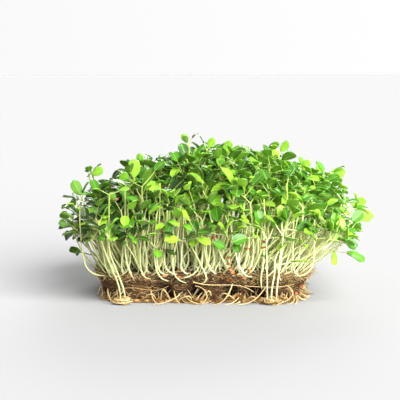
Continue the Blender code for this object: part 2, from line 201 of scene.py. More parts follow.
# A younger plant's leaves: how long in millimetres, how many, and how far they lean in degrees
FILLER_LEAF = (4.6, 7.4)
FILLER_LEAVES, FILLER_LEAVES_FRONT = (3, 4, 4, 5), (0, 1, 2, 3)
FILLER_LEANS, FILLER_LEANS_FRONT = (38, 88), (20, 75)
# How far in millimetres its fork may lie below the canopy's top, and the lowest height for it
FILLER_DEPTH, FILLER_DEPTH_FRONT = 14, 25
FILLER_LOWEST = 33 * MM
# How light a leaf's green can be, from 0 to 1: painted light and shade by where it grows, lighter in front,
# higher up, to the right and on an outer plant's lead leaf, darker inside
FRONT_LIT_TINT = 0.95
INNER_SHADED_TINT = 0.35
RIGHT_PAINTED_LIGHT = 0.32
LEAD_PAINTED_LIGHT = 0.45
MOST_FRESHNESS = 0.8
LEAFY_DEPTH = 24 * MM
FINISH_SEED = 77 * SEED
SHARP_ANGLE = math.radians(50)
HUSK_SIZE = (1.5 * MM, 1.05 * MM, 0.85 * MM)
KNOT_ROOTS = 46
# How many points a line has, by its kind
THREAD_STATIONS, HAIR_STATIONS, ROOT_STATIONS, STOUT_STATIONS = 5, 3, 9, 13
HAIR_RADII = (0.08 * MM, 0.07 * MM, 0.04 * MM)
LOOP_RADIUS = 0.32 * MM

# Curled skins at the front foot: middle in X, width and height in millimetres, then how far they curl
FELT_SKINS = (
    (5, 5, 4.5, 1.2),
    (17, 7, 4.5, 1.6),
    (26, 9, 3, 2.0),
    (-21, 5, 3, 1.4),
    (38, 6, 3.5, 1.0),
    (-3, 4, 2.5, 1.8),
)
SKIN_FOOT = -35.6 * MM
SKIN_LIMIT = -40 * MM
# Stout roots on the mat's front: four control points each, a radius, all in millimetres, and a tint
FRONT_ROOTS = (
    (((-5, -40.5, 11.5), (6, -41.5, 8), (17, -40.5, 13), (24, -37.5, 6)), 0.2, 1.0),
    (((-44, -36.5, 5), (-34, -40, 13), (-26, -39, 3), (-17, -37.5, 9)), 0.22, 0.6),
    (((14, -38, 10), (12, -42, 4), (9, -42, 1), (5, -41, 0.5)), 0.34, 0.9),
    (((30, -37, 8), (27, -41, 5), (25, -40, 1), (17, -41.5, 0.5)), 0.34, 0.9),
    (((-4, -37.5, 9), (2, -41, 9), (4, -41, 3), (-2, -40, 0.5)), 0.3, 0.8),
    (((40, -36, 9), (44, -39, 8), (46, -38, 3), (36, -40, 0.5)), 0.36, 0.85),
    (((-12, -37.5, 5), (-10, -41, 6), (-16, -41, 1), (-24, -40, 0.5)), 0.3, 0.95),
    (((20, -37.5, 9), (28, -41, 9), (38, -38, 8), (44, -36, 9.5)), 0.26, 0.8),
)
# Stems that sweep along the front before they rise: the X and Z of four control points, in millimetres
SWEEPS = (
    ((-17, 11.5), (-25.5, 14), (-24.6, 31), (-21.7, 48)),
    ((-8.4, 10.6), (-20.8, 14.4), (-11.2, 26.5), (-10.8, 50)),
    ((-1.7, 10), (7.8, 14), (-7.4, 20.7), (-9.8, 47)),
    ((6.4, 15), (1.1, 16.9), (0.7, 31), (-5, 50)),
    ((14.5, 16.4), (8.8, 18.8), (5, 31), (1.6, 52)),
    ((23.5, 13.5), (16.4, 14), (13.5, 31), (12.1, 50)),
    ((28.3, 7.7), (25.9, 16.9), (31.6, 24), (27.8, 43)),
    ((-33.6, 12.5), (-37.9, 16.9), (-37, 31), (-39.8, 46)),
    ((-25.5, 12.5), (-34, 14.4), (-30.3, 29), (-27.5, 47)),
    ((46, 14.5), (41.2, 17.8), (42.1, 31), (46, 45)),
    ((37.4, 12), (34.5, 15.9), (38.3, 29), (38.3, 45)),
    ((-44, 13), (-49, 17), (-47, 30), (-52, 42)),
)
SWEEP_DEPTHS = (-38.5, -43, -41.5, -37)
# Husks on the front: X and height in millimetres
FRONT_HUSKS = (
    (-52, 13), (-28.5, 12.5), (-19, 14), (-12, 13.5), (-4, 14), (8.5, 13), (12, 16), (12.5, 12), (16, 14.5),
    (19, 17), (53, 16), (51.5, 12.5), (48, 7), (45.5, 4), (31, 3.5), (-36, 14.5), (-43, 12), (36, 15),
    (28, 16.5),
)
# Husks caught among the stems and leaves, in millimetres
HUNG_HUSKS = (
    (29.3, -43, 31.5), (28.8, -43.5, 28.7), (20.8, -43, 28.2), (14.4, -42.5, 28.4), (4.8, -43, 33.6),
    (11.8, -43, 23.8), (12.4, -42.5, 20.6), (13.1, -42, 18.2), (13.9, -41.5, 16.2), (22.3, -42, 17.4),
    (19.2, -41.5, 13.4), (-41.8, -37, 51), (-29.8, -37, 47.6), (50.2, -24, 17), (47.4, -28, 12.6),
)
# Each light's bearing in degrees, clockwise from straight behind and then above level, and its spread
LIGHTS = {"back_light": ((9, 14), 40), "side_light": ((143, 29), 60)}
# The point that the camera looks at
AIM = Vector((-1.7 * MM, 0, 46.1 * MM))


def linear(code):
    """An sRGB hex colour as linear red, green and blue."""
    values = [int(code[i : i + 2], 16) / 255 for i in (1, 3, 5)]
    return tuple(v / 12.92 if v <= 0.04045 else ((v + 0.055) / 1.055) ** 2.4 for v in values)


def add_node(tree, kind, sockets=None, stops=None, **settings):
    """Adds a node with its settings. A socket takes a value, or another node's output as a link."""
    node = tree.nodes.new("ShaderNode" + kind)
    for name, value in settings.items():
        setattr(node, name, value)
    for order, (place, colour) in enumerate(stops or ()):
        elements = node.color_ramp.elements
        element = elements[order] if order < 2 else elements.new(place)
        element.position = place
        element.color = (*colour, 1)
    for name, value in (sockets or {}).items():
        if isinstance(value, bpy.types.NodeSocket):
            tree.links.new(value, node.inputs[name])
        else:
            node.inputs[name].default_value = value
    return node


def new_material(name):
    """An empty material and its node tree."""
    made = bpy.data.materials.new(name)
    made.use_nodes = True
    made.node_tree.nodes.clear()
    return made, made.node_tree


def thin_surface(tree, skin, glow, share):
    """Ends a material so that this share of its light comes through from behind, in the glow's colour."""
    through = add_node(tree, "BsdfTranslucent", {"Color": glow})
    both = add_node(tree, "MixShader", {0: share, 1: skin.outputs[0], 2: through.outputs[0]})
    add_node(tree, "OutputMaterial", {"Surface": both.outputs[0]})


def leaf_material(look):
    """Fresh leaf: a satin skin over cells that let light through, so leaves before the light glow."""
    made, tree = new_material("fresh_leaf_blade")
    place = add_node(tree, "UVMap", uv_map="UVMap").outputs["UV"]
    across = add_node(tree, "SeparateXYZ", {0: place}).outputs
    off_rib = add_node(tree, "Math", {0: across["X"], 1: 0.5}, operation="SUBTRACT").outputs[0]
    off_rib = add_node(tree, "Math", {0: off_rib}, operation="ABSOLUTE").outputs[0]
    rib = add_node(tree, "MapRange", {0: off_rib, 1: 0.015, 2: 0.06, 3: 0.45, 4: 0.0}).outputs[0]
    slant = add_node(tree, "Math", {0: off_rib, 1: -1.5, 2: across["Y"]}, operation="MULTIPLY_ADD").outputs[0]
    vein = add_node(tree, "Math", {0: slant, 1: 38.0}, operation="MULTIPLY").outputs[0]
    vein = add_node(tree, "Math", {0: vein}, operation="SINE").outputs[0]
    vein = add_node(tree, "MapRange", {0: vein, 1: 0.8, 2: 1.0, 3: 0.0, 4: 0.14}).outputs[0]
    line = add_node(tree, "Math", {0: rib, 1: vein}, operation="MAXIMUM").outputs[0]
    where = add_node(tree, "TexCoord").outputs["Object"]
    blotch = add_node(tree, "TexNoise", {"Vector": where, "Scale": 1 / (5 * MM), "Detail": 2.0})
    tint = add_node(tree, "Attribute", attribute_name="tint").outputs["Fac"]
    tint = add_node(
        tree, "Math", {0: blotch.outputs[0], 1: 0.35, 2: tint}, operation="MULTIPLY_ADD"
    ).outputs[0]
    body = add_node(
        tree,
        "ValToRGB",
        {0: tint},
        stops=((0.12, look.leaf_dark), (0.6, look.leaf_middle), (1.0, look.leaf_bright)),
    ).outputs[0]
    body = add_node(
        tree, "Mix", {0: line, 6: body, 7: (*look.leaf_rib, 1)}, data_type="RGBA"
    ).outputs[2]
    below = add_node(tree, "Attribute", attribute_name="underside").outputs["Fac"]
    below = add_node(tree, "Math", {0: below, 1: 0.55}, operation="MULTIPLY").outputs[0]
    body = add_node(
        tree, "Mix", {0: below, 6: body, 7: (*look.leaf_underside, 1)}, data_type="RGBA"
    ).outputs[2]
    raised = add_node(tree, "Bump", {"Height": line, "Strength": 0.35, "Distance": 0.25 * MM})
    skin = add_node(
        tree,
        "BsdfPrincipled",
        {"Base Color": body, "Roughness": 0.36, "Specular IOR Level": 0.5, "Normal": raised.outputs[0]},
    )
    glow = add_node(
        tree, "ValToRGB", {0: tint}, stops=((0.1, look.glow_deep), (0.9, look.glow_young))
    ).outputs[0]
    glow = add_node(tree, "Mix", {0: line, 6: glow, 7: (*look.leaf_rib, 1)}, data_type="RGBA").outputs[2]
    thin_surface(tree, skin, glow, 0.34)
    return made


def stem_material(look):
    """Watery seedling stem: nearly white at the root and pale green above, clear enough to glow, with painted
    shade towards its left end.
    """
    made, tree = new_material("seedling_stem")
    where = add_node(tree, "TexCoord").outputs["Object"]
    spot = add_node(tree, "SeparateXYZ", {0: where}).outputs
    tint = add_node(tree, "Attribute", attribute_name="tint").outputs["Fac"]
    share = add_node(tree, "MapRange", {0: spot["Z"], 1: MAT_TOP, 2: 62 * MM, 3: 0.0, 4: 0.8}).outputs[0]
    share = add_node(tree, "Math", {0: tint, 1: 0.3, 2: share}, operation="MULTIPLY_ADD").outputs[0]
    colour = add_node(
        tree,
        "ValToRGB",
        {0: share},
        stops=((0.05, look.stem_root), (0.4, look.stem_middle), (1.0, look.stem_top)),
    ).outputs[0]
    # Painted shade: stems are darkened towards the left end, away from the light from the right
    shade = add_node(tree, "MapRange", {0: spot["X"], 1: -55 * MM, 2: 30 * MM}).outputs[0]
    # Colour of the painted shade at the far left
    left_shade = (0.56, 0.57, 0.42)
    shade = add_node(tree, "ValToRGB", {0: shade}, stops=((0.0, left_shade), (1.0, (1, 1, 1)))).outputs[0]
    colour = add_node(
        tree, "Mix", {0: 1.0, 6: colour, 7: shade}, data_type="RGBA", blend_type="MULTIPLY"
    ).outputs[2]
    skin = add_node(tree, "BsdfPrincipled", {"Base Color": colour, "Roughness": 0.34, "IOR": 1.38})
    glow = add_node(tree, "Mix", {0: 0.5, 6: colour, 7: (*look.stem_glow, 1)}, data_type="RGBA").outputs[2]
    thin_surface(tree, skin, glow, 0.45)
    return made


def mat_material(look):
    """Damp coir and peat bound by roots: brown crumbs about 2 mm across under grey-tan threads."""
    made, tree = new_material("root_bound_coir")
    where = add_node(tree, "TexCoord").outputs["Object"]
    crumb = add_node(tree, "TexNoise", {"Vector": where, "Scale": 1 / (2.2 * MM), "Detail": 5.0})
    patch = add_node(tree, "TexNoise", {"Vector": where, "Scale": 1 / (9 * MM), "Detail": 2.0})
    mixed = add_node(
        tree, "Math", {0: patch.outputs[0], 1: 0.6, 2: -0.3}, operation="MULTIPLY_ADD"
    ).outputs[0]
    mixed = add_node(tree, "Math", {0: crumb.outputs[0], 1: mixed}, operation="ADD").outputs[0]
    colour = add_node(
        tree,
        "ValToRGB",
        {0: mixed},
        stops=((0.3, look.mat_dark), (0.52, look.mat_middle), (0.78, look.mat_pale)),
    ).outputs[0]
    # Threads are drawn 0.8 mm apart, about twice as coarse as they are
    drawn = add_node(tree, "Mapping", {"Vector": where, "Scale": (0.35, 0.35, 1.0)}).outputs[0]
    thread = add_node(
        tree, "TexNoise", {"Vector": drawn, "Scale": 1 / (0.8 * MM), "Detail": 3.0, "Distortion": 1.2}
    ).outputs[0]
    pale = add_node(tree, "MapRange", {0: thread, 1: 0.56, 2: 0.7, 3: 0.0, 4: 0.6}).outputs[0]
    colour = add_node(
        tree, "Mix", {0: pale, 6: colour, 7: (*look.root_tan, 1)}, data_type="RGBA"
    ).outputs[2]
    # Painted shade: the mat is darkened towards the hollow colour deep in its front hollows, by the tint that
    # the mat operator writes
    hollow = add_node(tree, "Attribute", attribute_name="tint").outputs["Fac"]
    colour = add_node(
        tree, "Mix", {0: hollow, 6: colour, 7: (*look.mat_hollow_shade, 1)}, data_type="RGBA"
    ).outputs[2]
    raised = add_node(tree, "Bump", {"Height": mixed, "Strength": 0.9, "Distance": 0.9 * MM})
    raised = add_node(
        tree, "Bump", {"Height": thread, "Strength": 0.6, "Distance": 0.3 * MM, "Normal": raised.outputs[0]}
    )
    skin = add_node(
        tree, "BsdfPrincipled", {"Base Color": colour, "Roughness": 0.93, "Normal": raised.outputs[0]}
    )
    add_node(tree, "OutputMaterial", {"Surface": skin.outputs[0]})
    return made


def root_material(look):
    """Living root threads: cream where young and tan where old."""
    made, tree = new_material("root_thread")
    tint = add_node(tree, "Attribute", attribute_name="tint").outputs["Fac"]
    colour = add_node(
        tree,
        "ValToRGB",
        {0: tint},
        stops=((0.0, look.root_brown), (0.45, look.root_tan), (1.0, look.root_cream)),
    ).outputs[0]
    skin = add_node(tree, "BsdfPrincipled", {"Base Color": colour, "Roughness": 0.6})
    thin_surface(tree, skin, colour, 0.25)
    return made


def felt_material(look):
    """Matted roots that grew flat against the tray: ochre skins, thin enough to let some light through."""
    made, tree = new_material("root_felt_skin")
    where = add_node(tree, "TexCoord").outputs["Object"]
    patch = add_node(tree, "TexNoise", {"Vector": where, "Scale": 1 / (3 * MM), "Detail": 4.0})
    colour = add_node(
        tree,
        "ValToRGB",
        {0: patch.outputs[0]},
        stops=((0.42, look.root_brown), (0.56, look.felt_ochre), (0.7, look.root_cream)),
    ).outputs[0]
    thread = add_node(
        tree, "TexNoise", {"Vector": where, "Scale": 1 / (0.9 * MM), "Detail": 3.0, "Distortion": 2.0}
    )
    raised = add_node(
        tree, "Bump", {"Height": thread.outputs[0], "Strength": 0.8, "Distance": 0.35 * MM}
    )
    skin = add_node(
        tree, "BsdfPrincipled", {"Base Color": colour, "Roughness": 0.7, "Normal": raised.outputs[0]}
    )
    thin_surface(tree, skin, colour, 0.2)
    return made


def husk_material(look):
    """Split seed coat: thin, orange-brown and dull."""
    made, tree = new_material("seed_coat")
    where = add_node(tree, "TexCoord").outputs["Object"]
    patch = add_node(tree, "TexNoise", {"Vector": where, "Scale": 1 / (0.9 * MM), "Detail": 3.0})
    colour = add_node(
        tree, "ValToRGB", {0: patch.outputs[0]}, stops=((0.35, look.husk_dark), (0.65, look.husk_orange))
    ).outputs[0]
    raised = add_node(tree, "Bump", {"Height": patch.outputs[0], "Strength": 0.5, "Distance": 0.1 * MM})
    skin = add_node(
        tree, "BsdfPrincipled", {"Base Color": colour, "Roughness": 0.5, "Normal": raised.outputs[0]}
    )
    add_node(tree, "OutputMaterial", {"Surface": skin.outputs[0]})
    return made


def floor_material(colour):
    """Smooth, fully matt card, darker than white card is, because the plants need strong lights."""
    made, tree = new_material("white_card")
    where = add_node(tree, "TexCoord").outputs["Object"]
    grain = add_node(tree, "TexNoise", {"Vector": where, "Scale": 1 / (4 * MM), "Detail": 2.0})
    raised = add_node(tree, "Bump", {"Height": grain.outputs[0], "Strength": 0.02, "Distance": 0.05 * MM})
    sheen = {"Roughness": 0.8, "Specular IOR Level": 0.0, "Normal": raised.outputs[0]}
    skin = add_node(tree, "BsdfPrincipled", {"Base Color": (*colour, 1), **sheen})
    add_node(tree, "OutputMaterial", {"Surface": skin.outputs[0]})
    return made


def rounded_rectangle(half_x, half_y, corner, share):
    """The point at this share of the way round, anticlockwise from the middle of the right side."""
    straight_x = 2 * (half_x - corner)
    straight_y = 2 * (half_y - corner)
    arc = math.pi / 2 * corner
    around = (share % 1) * 2 * (straight_x + straight_y + 2 * arc) + straight_y / 2
    corners = ((1, 1, straight_y), (-1, 1, straight_x), (-1, -1, straight_y), (1, -1, straight_x))
    for turn, (side_x, side_y, straight) in enumerate(corners * 2):
        centre = Vector((side_x * (half_x - corner), side_y * (half_y - corner)))
        start = Vector((math.cos(turn * math.pi / 2), math.sin(turn * math.pi / 2)))
        along = Vector((-start.y, start.x))
        if around <= straight:
            return centre + start * corner - along * (straight - around)
        around -= straight
        if around <= arc:
            angle = turn * math.pi / 2 + around / corner
            return centre + Vector((math.cos(angle), math.sin(angle))) * corner
        around -= arc
    raise ValueError("the outline has no such point")


def rough(x, y, z, scale):
    """Smooth noise from -1 to 1, with bumps about this far apart."""
    return noise.noise(Vector((x, y, z)) / scale)


def hollow_at(x, y, level):
    """How far the foot of the front face is eaten away here."""
    if y > 0 or level > HOLLOW_TOP:
        return 0.0
    depth = 0.0
    for middle, half in HOLLOWS:
        depth += HOLLOW_DEPTH * math.exp(-(((x - middle) / half) ** 2) * HOLLOW_STEEPNESS)
    return depth * (1 - level / HOLLOW_TOP) ** 0.5


def mat_place(share, level):
    """A point of the mat's side, at this share of the way round and this share of its height."""
    foot = FELT_HEIGHT + GAP
    drawn_in = MAT_TAPER * (1 - level) ** 0.8
    if level > RIM_START:
        drawn_in += RIM_ROUNDING * ((level - RIM_START) / RIM_SHARE) ** 2
    flat = rounded_rectangle(
        MAT_WIDTH / 2 - drawn_in, MAT_DEPTH / 2 - drawn_in, MAT_CORNER - drawn_in / 2, share
    )
    z = foot + (MAT_TOP - foot) * level
    flat += flat.normalized() * MAT_ROUGHNESS * rough(flat.x, flat.y, z, MAT_LUMP)
    if flat.y < 0:
        flat.y += hollow_at(flat.x, flat.y, level)
    return Vector((flat.x, flat.y, z))


def crumbs(place):
    """How far the crumbs of the mat stand out at this point."""
    coarse = rough(place.x, place.y, place.z, COARSE_CRUMB)
    fine = rough(place.y, place.z, place.x, FINE_CRUMB)
    return COARSE_CRUMB_DEPTH * coarse + FINE_CRUMB_DEPTH * fine


def mat_ring(level):
    """The mat's outline at this share of its height."""
    return [mat_place(step / MAT_FINE_SIDES, level) for step in range(MAT_FINE_SIDES)]


def outwards(place):
    """The level direction from the mat's middle to this point."""
    return place.xy.to_3d().normalized()


def bezier(controls, stations):
    """Points along a curve that leaves the first control point towards the second one."""
    start, leave, arrive, end = controls
    line = []
    for step in range(stations):
        t = step / (stations - 1)
        s = 1 - t
        line.append(start * s**3 + leave * 3 * s * s * t + arrive * 3 * s * t * t + end * t**3)
    return line


def directions(line):
    """The heading at each point of a line."""
    ends = [line[0], *line, line[-1]]
    return [(ends[i + 2] - ends[i]).normalized() for i in range(len(line))]


def frames_along(line, side):
    """Each point of a line with two directions square to it, without twist from one to the next."""
    frames = []
    for place, heading in zip(line, directions(line)):
        side = (side - heading * side.dot(heading)).normalized()
        frames.append((place, side, heading.cross(side)))
    return frames


def stem_rings(line, radius, swell=1.0):
    """Rings of few sides round a line, the last of them swollen."""
    rings = []
    for place, side, other in frames_along(line, Vector((1, 0, 0))):
        if place is line[-1]:
            radius *= swell
        ring = []
        for corner in range(STEM_SIDES):
            angle = 2 * math.pi * corner / STEM_SIDES
            ring.append(place + (side * math.cos(angle) + other * math.sin(angle)) * radius)
        rings.append(ring)
    return rings


def leaf_rings(leaf, swell=0.0):
    """Flat rings along a leaf: its petiole first, then its blade."""
    start, heading, across, petiole, length, width, droop = leaf
    places = [start - heading * LEAF_SINK, start + heading * petiole]
    sizes = [(PETIOLE_WIDTH, PETIOLE_THICKNESS)] * 2
    headings = [heading, heading]
    done = 0.0
    bend = heading
    for share, spread in BLADE_STATIONS:
        bend = Matrix.Rotation(droop * (share - done), 3, across) @ bend
        places.append(places[-1] + bend * length * (share - done))
        sizes.append((width * spread, BLADE_THICKNESS))
        headings.append(bend)
        done = share
    rings = []
    for place, (wide, thick), along in zip(places, sizes, headings):
        side = across * (wide / 2 + swell)
        lift = along.cross(across) * (thick / 2 + swell)
        rings.append([place - side - lift, place + side - lift, place + side + lift, place - side + lift])
    return rings


def points_of(rings):
    """Every point of these rings, one after the other."""
    return [point for ring in rings for point in ring]


class Room:
    """What is placed so far, filed by the cells of a grid, so that what comes next can be kept clear."""

    def __init__(self):
        self.cells = {}
        self.count = 0

    @staticmethod
    def box(rings):
        """The low and the high corner of the box round these rings."""
        points = points_of(rings)
        low = Vector([min(point[axis] for point in points) for axis in range(3)])
        high = Vector([max(point[axis] for point in points) for axis in range(3)])
        return low, high

    @staticmethod
    def tree(rings):
        """The closed skin of these rings, ready to be tested for an overlap."""
        sides = len(rings[0])
        faces = [list(range(sides)), list(range((len(rings) - 1) * sides, len(rings) * sides))]
        for step in range(len(rings) - 1):
            for corner in range(sides):
                first, second = step * sides + corner, step * sides + (corner + 1) % sides
                faces.append([first, second, second + sides, first + sides])
        return BVHTree.FromPolygons(points_of(rings), faces)

    @staticmethod
    def cells_in(low, high):
        """Every cell of the grid that this box touches."""
        spans = (range(int(low[axis] // CELL), int(high[axis] // CELL) + 1) for axis in range(3))
        return itertools.product(*spans)

    def free(self, rings, plant):
        """True if these rings meet nothing of another plant's."""
        low, high = self.box(rings)
        tree = None
        seen = set()
        for cell in self.cells_in(low, high):
            for number, owner, other_low, other_high, other in self.cells.get(cell, ()):
                if owner == plant or number in seen:
                    continue
                seen.add(number)
                if any(low[axis] > other_high[axis] or high[axis] < other_low[axis] for axis in range(3)):
                    continue
                tree = tree or self.tree(rings)
                if tree.overlap(other):
                    return False
        return True

    def take(self, rings, plant):
        """Files these rings as part of this plant."""
        low, high = self.box(rings)
        item = (self.count, plant, low, high, self.tree(rings))
        self.count += 1
        for cell in self.cells_in(low, high):
            self.cells.setdefault(cell, []).append(item)


def in_reach(rings):
    """True if these rings stay inside the block's own reach."""
    spans = list(enumerate(REACH))
    return all(low < point[axis] < high for point in points_of(rings) for axis, (low, high) in spans)


def lowest(rings):
    """The height of the lowest point of these rings."""
    return min(point.z for point in points_of(rings))


def canopy_height(x, y):
    """The height of the canopy's top at this spot."""
    side = min(1.0, abs(x - CANOPY_MIDDLE) / CANOPY_HALF)
    front = max(0.0, -y) / (MAT_DEPTH / 2)
    back = max(0.0, y) / (MAT_DEPTH / 2)
    return CANOPY_TOP - SIDE_FALL * side**2.4 - FRONT_FALL * front**1.5 - BACK_FALL * back**2


def stem_controls(draw, base, fork):
    """From the root to the fork: off to one side at first, most so along the front, then upwards."""
    height = fork.z - base.z
    swing = 0.5 if base.y < -MAT_DEPTH / 4 else 0.2
    leave = base + Vector((draw.uniform(-swing, swing), draw.uniform(-0.1, 0.1), 0.3)) * height
    lean = (fork - base).normalized()
    arrive = fork - (lean + UP * 0.5).normalized() * height * 0.4
    return base, leave, arrive, fork


def drawn_leaf(draw, fork, axis, turn, length):
    """A leaf that leaves the fork at this turn round the stem's axis."""
    side = axis.orthogonal().normalized()
    radial = Matrix.Rotation(turn, 3, axis) @ side
    lean = math.radians(draw.uniform(22, 78))
    heading = axis * math.cos(lean) + radial * math.sin(lean)
    across = axis.cross(radial)
    across = Matrix.Rotation(math.radians(draw.uniform(-35, 35)), 3, heading) @ across
    petiole = draw.uniform(0.45, 1.1) * length
    width = length * BLADE_RATIO * draw.uniform(0.9, 1.12)
    droop = math.radians(draw.uniform(10, 60))
    return fork, heading, across, petiole, length, width, droop


def lead_leaf(fork, degrees, length):
    """The leaf that an outer plant shows to the front."""
    angle = math.radians(degrees)
    heading = Vector((math.cos(angle), 0, math.sin(angle)))
    facing = Vector((0, -math.cos(OUTER_LEAF_TILT), math.sin(OUTER_LEAF_TILT)))
    across = heading.cross(facing).normalized()
    return fork, heading, across, 0.25 * length, length, length * BLADE_RATIO, math.radians(12)


def bunch_name(bunch):
    """The model's name for the plants on this patch of the mat."""
    return f"bunch_{bunch + 1:02d}"


def plant_draw(number):
    """One plant's own draws, the same on each run."""
    return random.Random(SEED * 1000 + number)


def bunch_spots():
    """The middle of each bunch's patch of the mat, row by row from the front left."""
    spots = []
    for row in range(ROWS):
        for column in range(COLUMNS):
            x = (column - (COLUMNS - 1) / 2) * COLUMN_STEP
            y = (row - (ROWS - 1) / 2) * ROW_STEP
            spots.append(Vector((x, y)))
    return spots


def wanted_plants():
    """Every plant as its bunch, its root, its fork, its lead leaf or None, and its leaves' length."""
    spots = bunch_spots()
    wanted = []
    held = [0] * len(spots)

    def nearest(x, y):
        """The patch nearest to this spot."""
        return min(range(len(spots)), key=lambda i: (spots[i] - Vector((x, y))).length)

    def root_in(bunch, number):
        """Where this plant of a patch is rooted, on a ring round the patch's middle."""
        angle = ROOT_TURN * number + BUNCH_TURN * bunch
        offset = Vector((math.cos(angle), math.sin(angle))) * BASE_RING
        return Vector((spots[bunch].x + offset.x, spots[bunch].y + offset.y, PLUG_TOP - ROOT_SINK))

    for x, y, fork_x, fork_y, fork_z, degrees, length in OUTER_PLANTS:
        bunch = nearest(x * MM, y * MM)
        fork = Vector((fork_x, fork_y, fork_z)) * MM
        wanted.append((bunch, root_in(bunch, held[bunch]), fork, (degrees, length * MM), 0.9 * length * MM))
        held[bunch] += 1
    for fork_x, fork_z in YOUNG_PLANTS:
        bunch = nearest(fork_x * MM, -MAT_DEPTH / 2)
        fork = Vector((fork_x * MM, -MAT_DEPTH / 2 - 3 * MM, fork_z * MM))
        wanted.append((bunch, root_in(bunch, held[bunch]), fork, None, YOUNG_LEAF))
        held[bunch] += 1
    for bunch in range(len(spots)):
        while held[bunch] < (FRONT_PLANTS_A_BUNCH if bunch < COLUMNS else PLANTS_A_BUNCH):
            wanted.append((bunch, root_in(bunch, held[bunch]), None, None, None))
            held[bunch] += 1
    return wanted


def canopy_fork(draw, base):
    """A fork under the canopy's top, spread outwards from its root."""
    x = base.x * SIDE_SPREAD + CANOPY_LEAN + draw.uniform(-5, 5) * MM
    y = base.y * DEPTH_SPREAD + draw.uniform(-5, 5) * MM
    return Vector((x, y, canopy_height(x, y) - draw.uniform(5, 18) * MM))


def grow_leaves(room, number, line, lead, length, draw):
    """The leaves of one plant that fit clear of the others, spread round its stem."""
    fork = line[-1]
    axis = directions(line)[-1]
    count = 2 if lead else draw.choice((3, 3, 3, 4))
    first = draw.uniform(0, 2 * math.pi)
    leaves = []
    choices = [[lead_leaf(fork, *lead)]] if lead else []
    for step in range(count):
        turn = first + 2 * math.pi * step / count
        start = fork - axis * FORK_STEP * (step + 0.5)
        tries = [turn + draw.uniform(-0.5, 0.5) for _ in range(LEAF_TRIES)]
        choices.append([drawn_leaf(draw, start, axis, t, length * draw.uniform(0.85, 1.05)) for t in tries])
    for tries in choices:
        for leaf in tries:
            rings = leaf_rings(leaf)
            held_up = in_reach(rings) and lowest(rings) > fork.z - LEAF_HANG
            if held_up and room.free(leaf_rings(leaf, CLEARANCE), number):
                room.take(rings, number)
                leaves.append(leaf)
                break
    return leaves


def edge_plants(room):
    """The plants rooted before the mat's front face, as the model has them."""
    plants = []
    for order, (name, x, y, forks) in enumerate(EDGE_BUNCHES):
        centre = Vector((x * MM, y * MM, KNOT_SIZE[2]))
        for step, fork in enumerate(forks):
            number = EDGE_NUMBER + 10 * order + step
            draw = plant_draw(number)
            base = centre + Vector(((step - (len(forks) - 1) / 2) * EDGE_STEM_SPREAD, -1 * MM, 0))
            end = Vector(fork) * MM
            rise = end.z - base.z
            controls = (base, base + Vector((0, -0.08, 0.35)) * rise, end - UP * rise * 0.4, end)
            line = bezier(controls, STEM_STATIONS)
            room.take(stem_rings(line, STEM_RADIUS, FORK_SWELL), number)
            leaves = grow_leaves(room, number, line, None, YOUNG_LEAF, draw)
            plants.append((name, number, controls, leaves, True))
    return plants


def model_plants(room):
    """The plants rooted in the mat, as the model has them."""
    grown = []
    for number, (bunch, base, fork, lead, length) in enumerate(wanted_plants()):
        draw = plant_draw(number)
        for _ in range(STEM_TRIES):
            controls = stem_controls(draw, base, fork or canopy_fork(draw, base))
            line = bezier(controls, STEM_STATIONS)
            if room.free(stem_rings(line[1:], STEM_RADIUS + CLEARANCE), number):
                room.take(stem_rings(line, STEM_RADIUS, FORK_SWELL), number)
                size = length or draw.uniform(8.5, 11) * MM
                grown.append((number, bunch, controls, lead, size, draw))
                break
    plants = []
    for number, bunch, controls, lead, size, draw in grown:
        leaves = grow_leaves(room, number, bezier(controls, STEM_STATIONS), lead, size, draw)
        plants.append((bunch_name(bunch), number, controls, leaves, bool(lead)))
    return plants


def on_mat(x, y, margin):
    """True if this spot is on the mat's top, at least this far from its rim."""
    beside_x = max(0.0, abs(x) - (MAT_WIDTH / 2 - MAT_CORNER))
    beside_y = max(0.0, abs(y) - (MAT_DEPTH / 2 - MAT_CORNER))
    return math.hypot(beside_x, beside_y) < MAT_CORNER - margin


def filler_fork(draw, base):
    """A fork anywhere in the leafy part of the canopy, which is deepest along the front."""
    end = canopy_fork(draw, base)
    deep = FILLER_DEPTH_FRONT if base.y < -MAT_DEPTH / 4 else FILLER_DEPTH
    end.z = max(FILLER_LOWEST, canopy_height(end.x, end.y) - (8 + deep * draw.random() ** 1.3) * MM)
    return end


def filler_leaves(room, number, line, length, draw):
    """Small, nearly level leaves on long petioles, in a fan round the top of a filler plant's stem."""
    fork = line[-1]
    axis = directions(line)[-1]
    side = axis.orthogonal().normalized()
    first = draw.uniform(0, 2 * math.pi)
    front = line[0].y < -MAT_DEPTH / 4
    count = draw.choice(FILLER_LEAVES_FRONT if front else FILLER_LEAVES)
    leans = FILLER_LEANS_FRONT if front else FILLER_LEANS
    leaves = []
    for step in range(count):
        start = fork - axis * 0.5 * MM * step
        for _ in range(FILLER_LEAF_TRIES):
            turn = first + 2 * math.pi * step / count + draw.uniform(-0.6, 0.6)
            radial = Matrix.Rotation(turn, 3, axis) @ side
            lean = math.radians(draw.uniform(*leans))
            heading = axis * math.cos(lean) + radial * math.sin(lean)
            across = Matrix.Rotation(math.radians(draw.gauss(0, 26)), 3, heading) @ axis.cross(radial)
            size = length * draw.uniform(0.8, 1.1)
            width = size * BLADE_RATIO * draw.uniform(0.9, 1.2)
            petiole = draw.uniform(0.5, 1.5) * size
            leaf = (start, heading, across, petiole, size, width, draw.uniform(0.1, 1.1))
            rings = leaf_rings(leaf)
            if in_reach(rings) and room.free(leaf_rings(leaf, FILLER_CLEARANCE)[2:], number):
                room.take(rings[2:], number)
                leaves.append(leaf)
                break
    return leaves


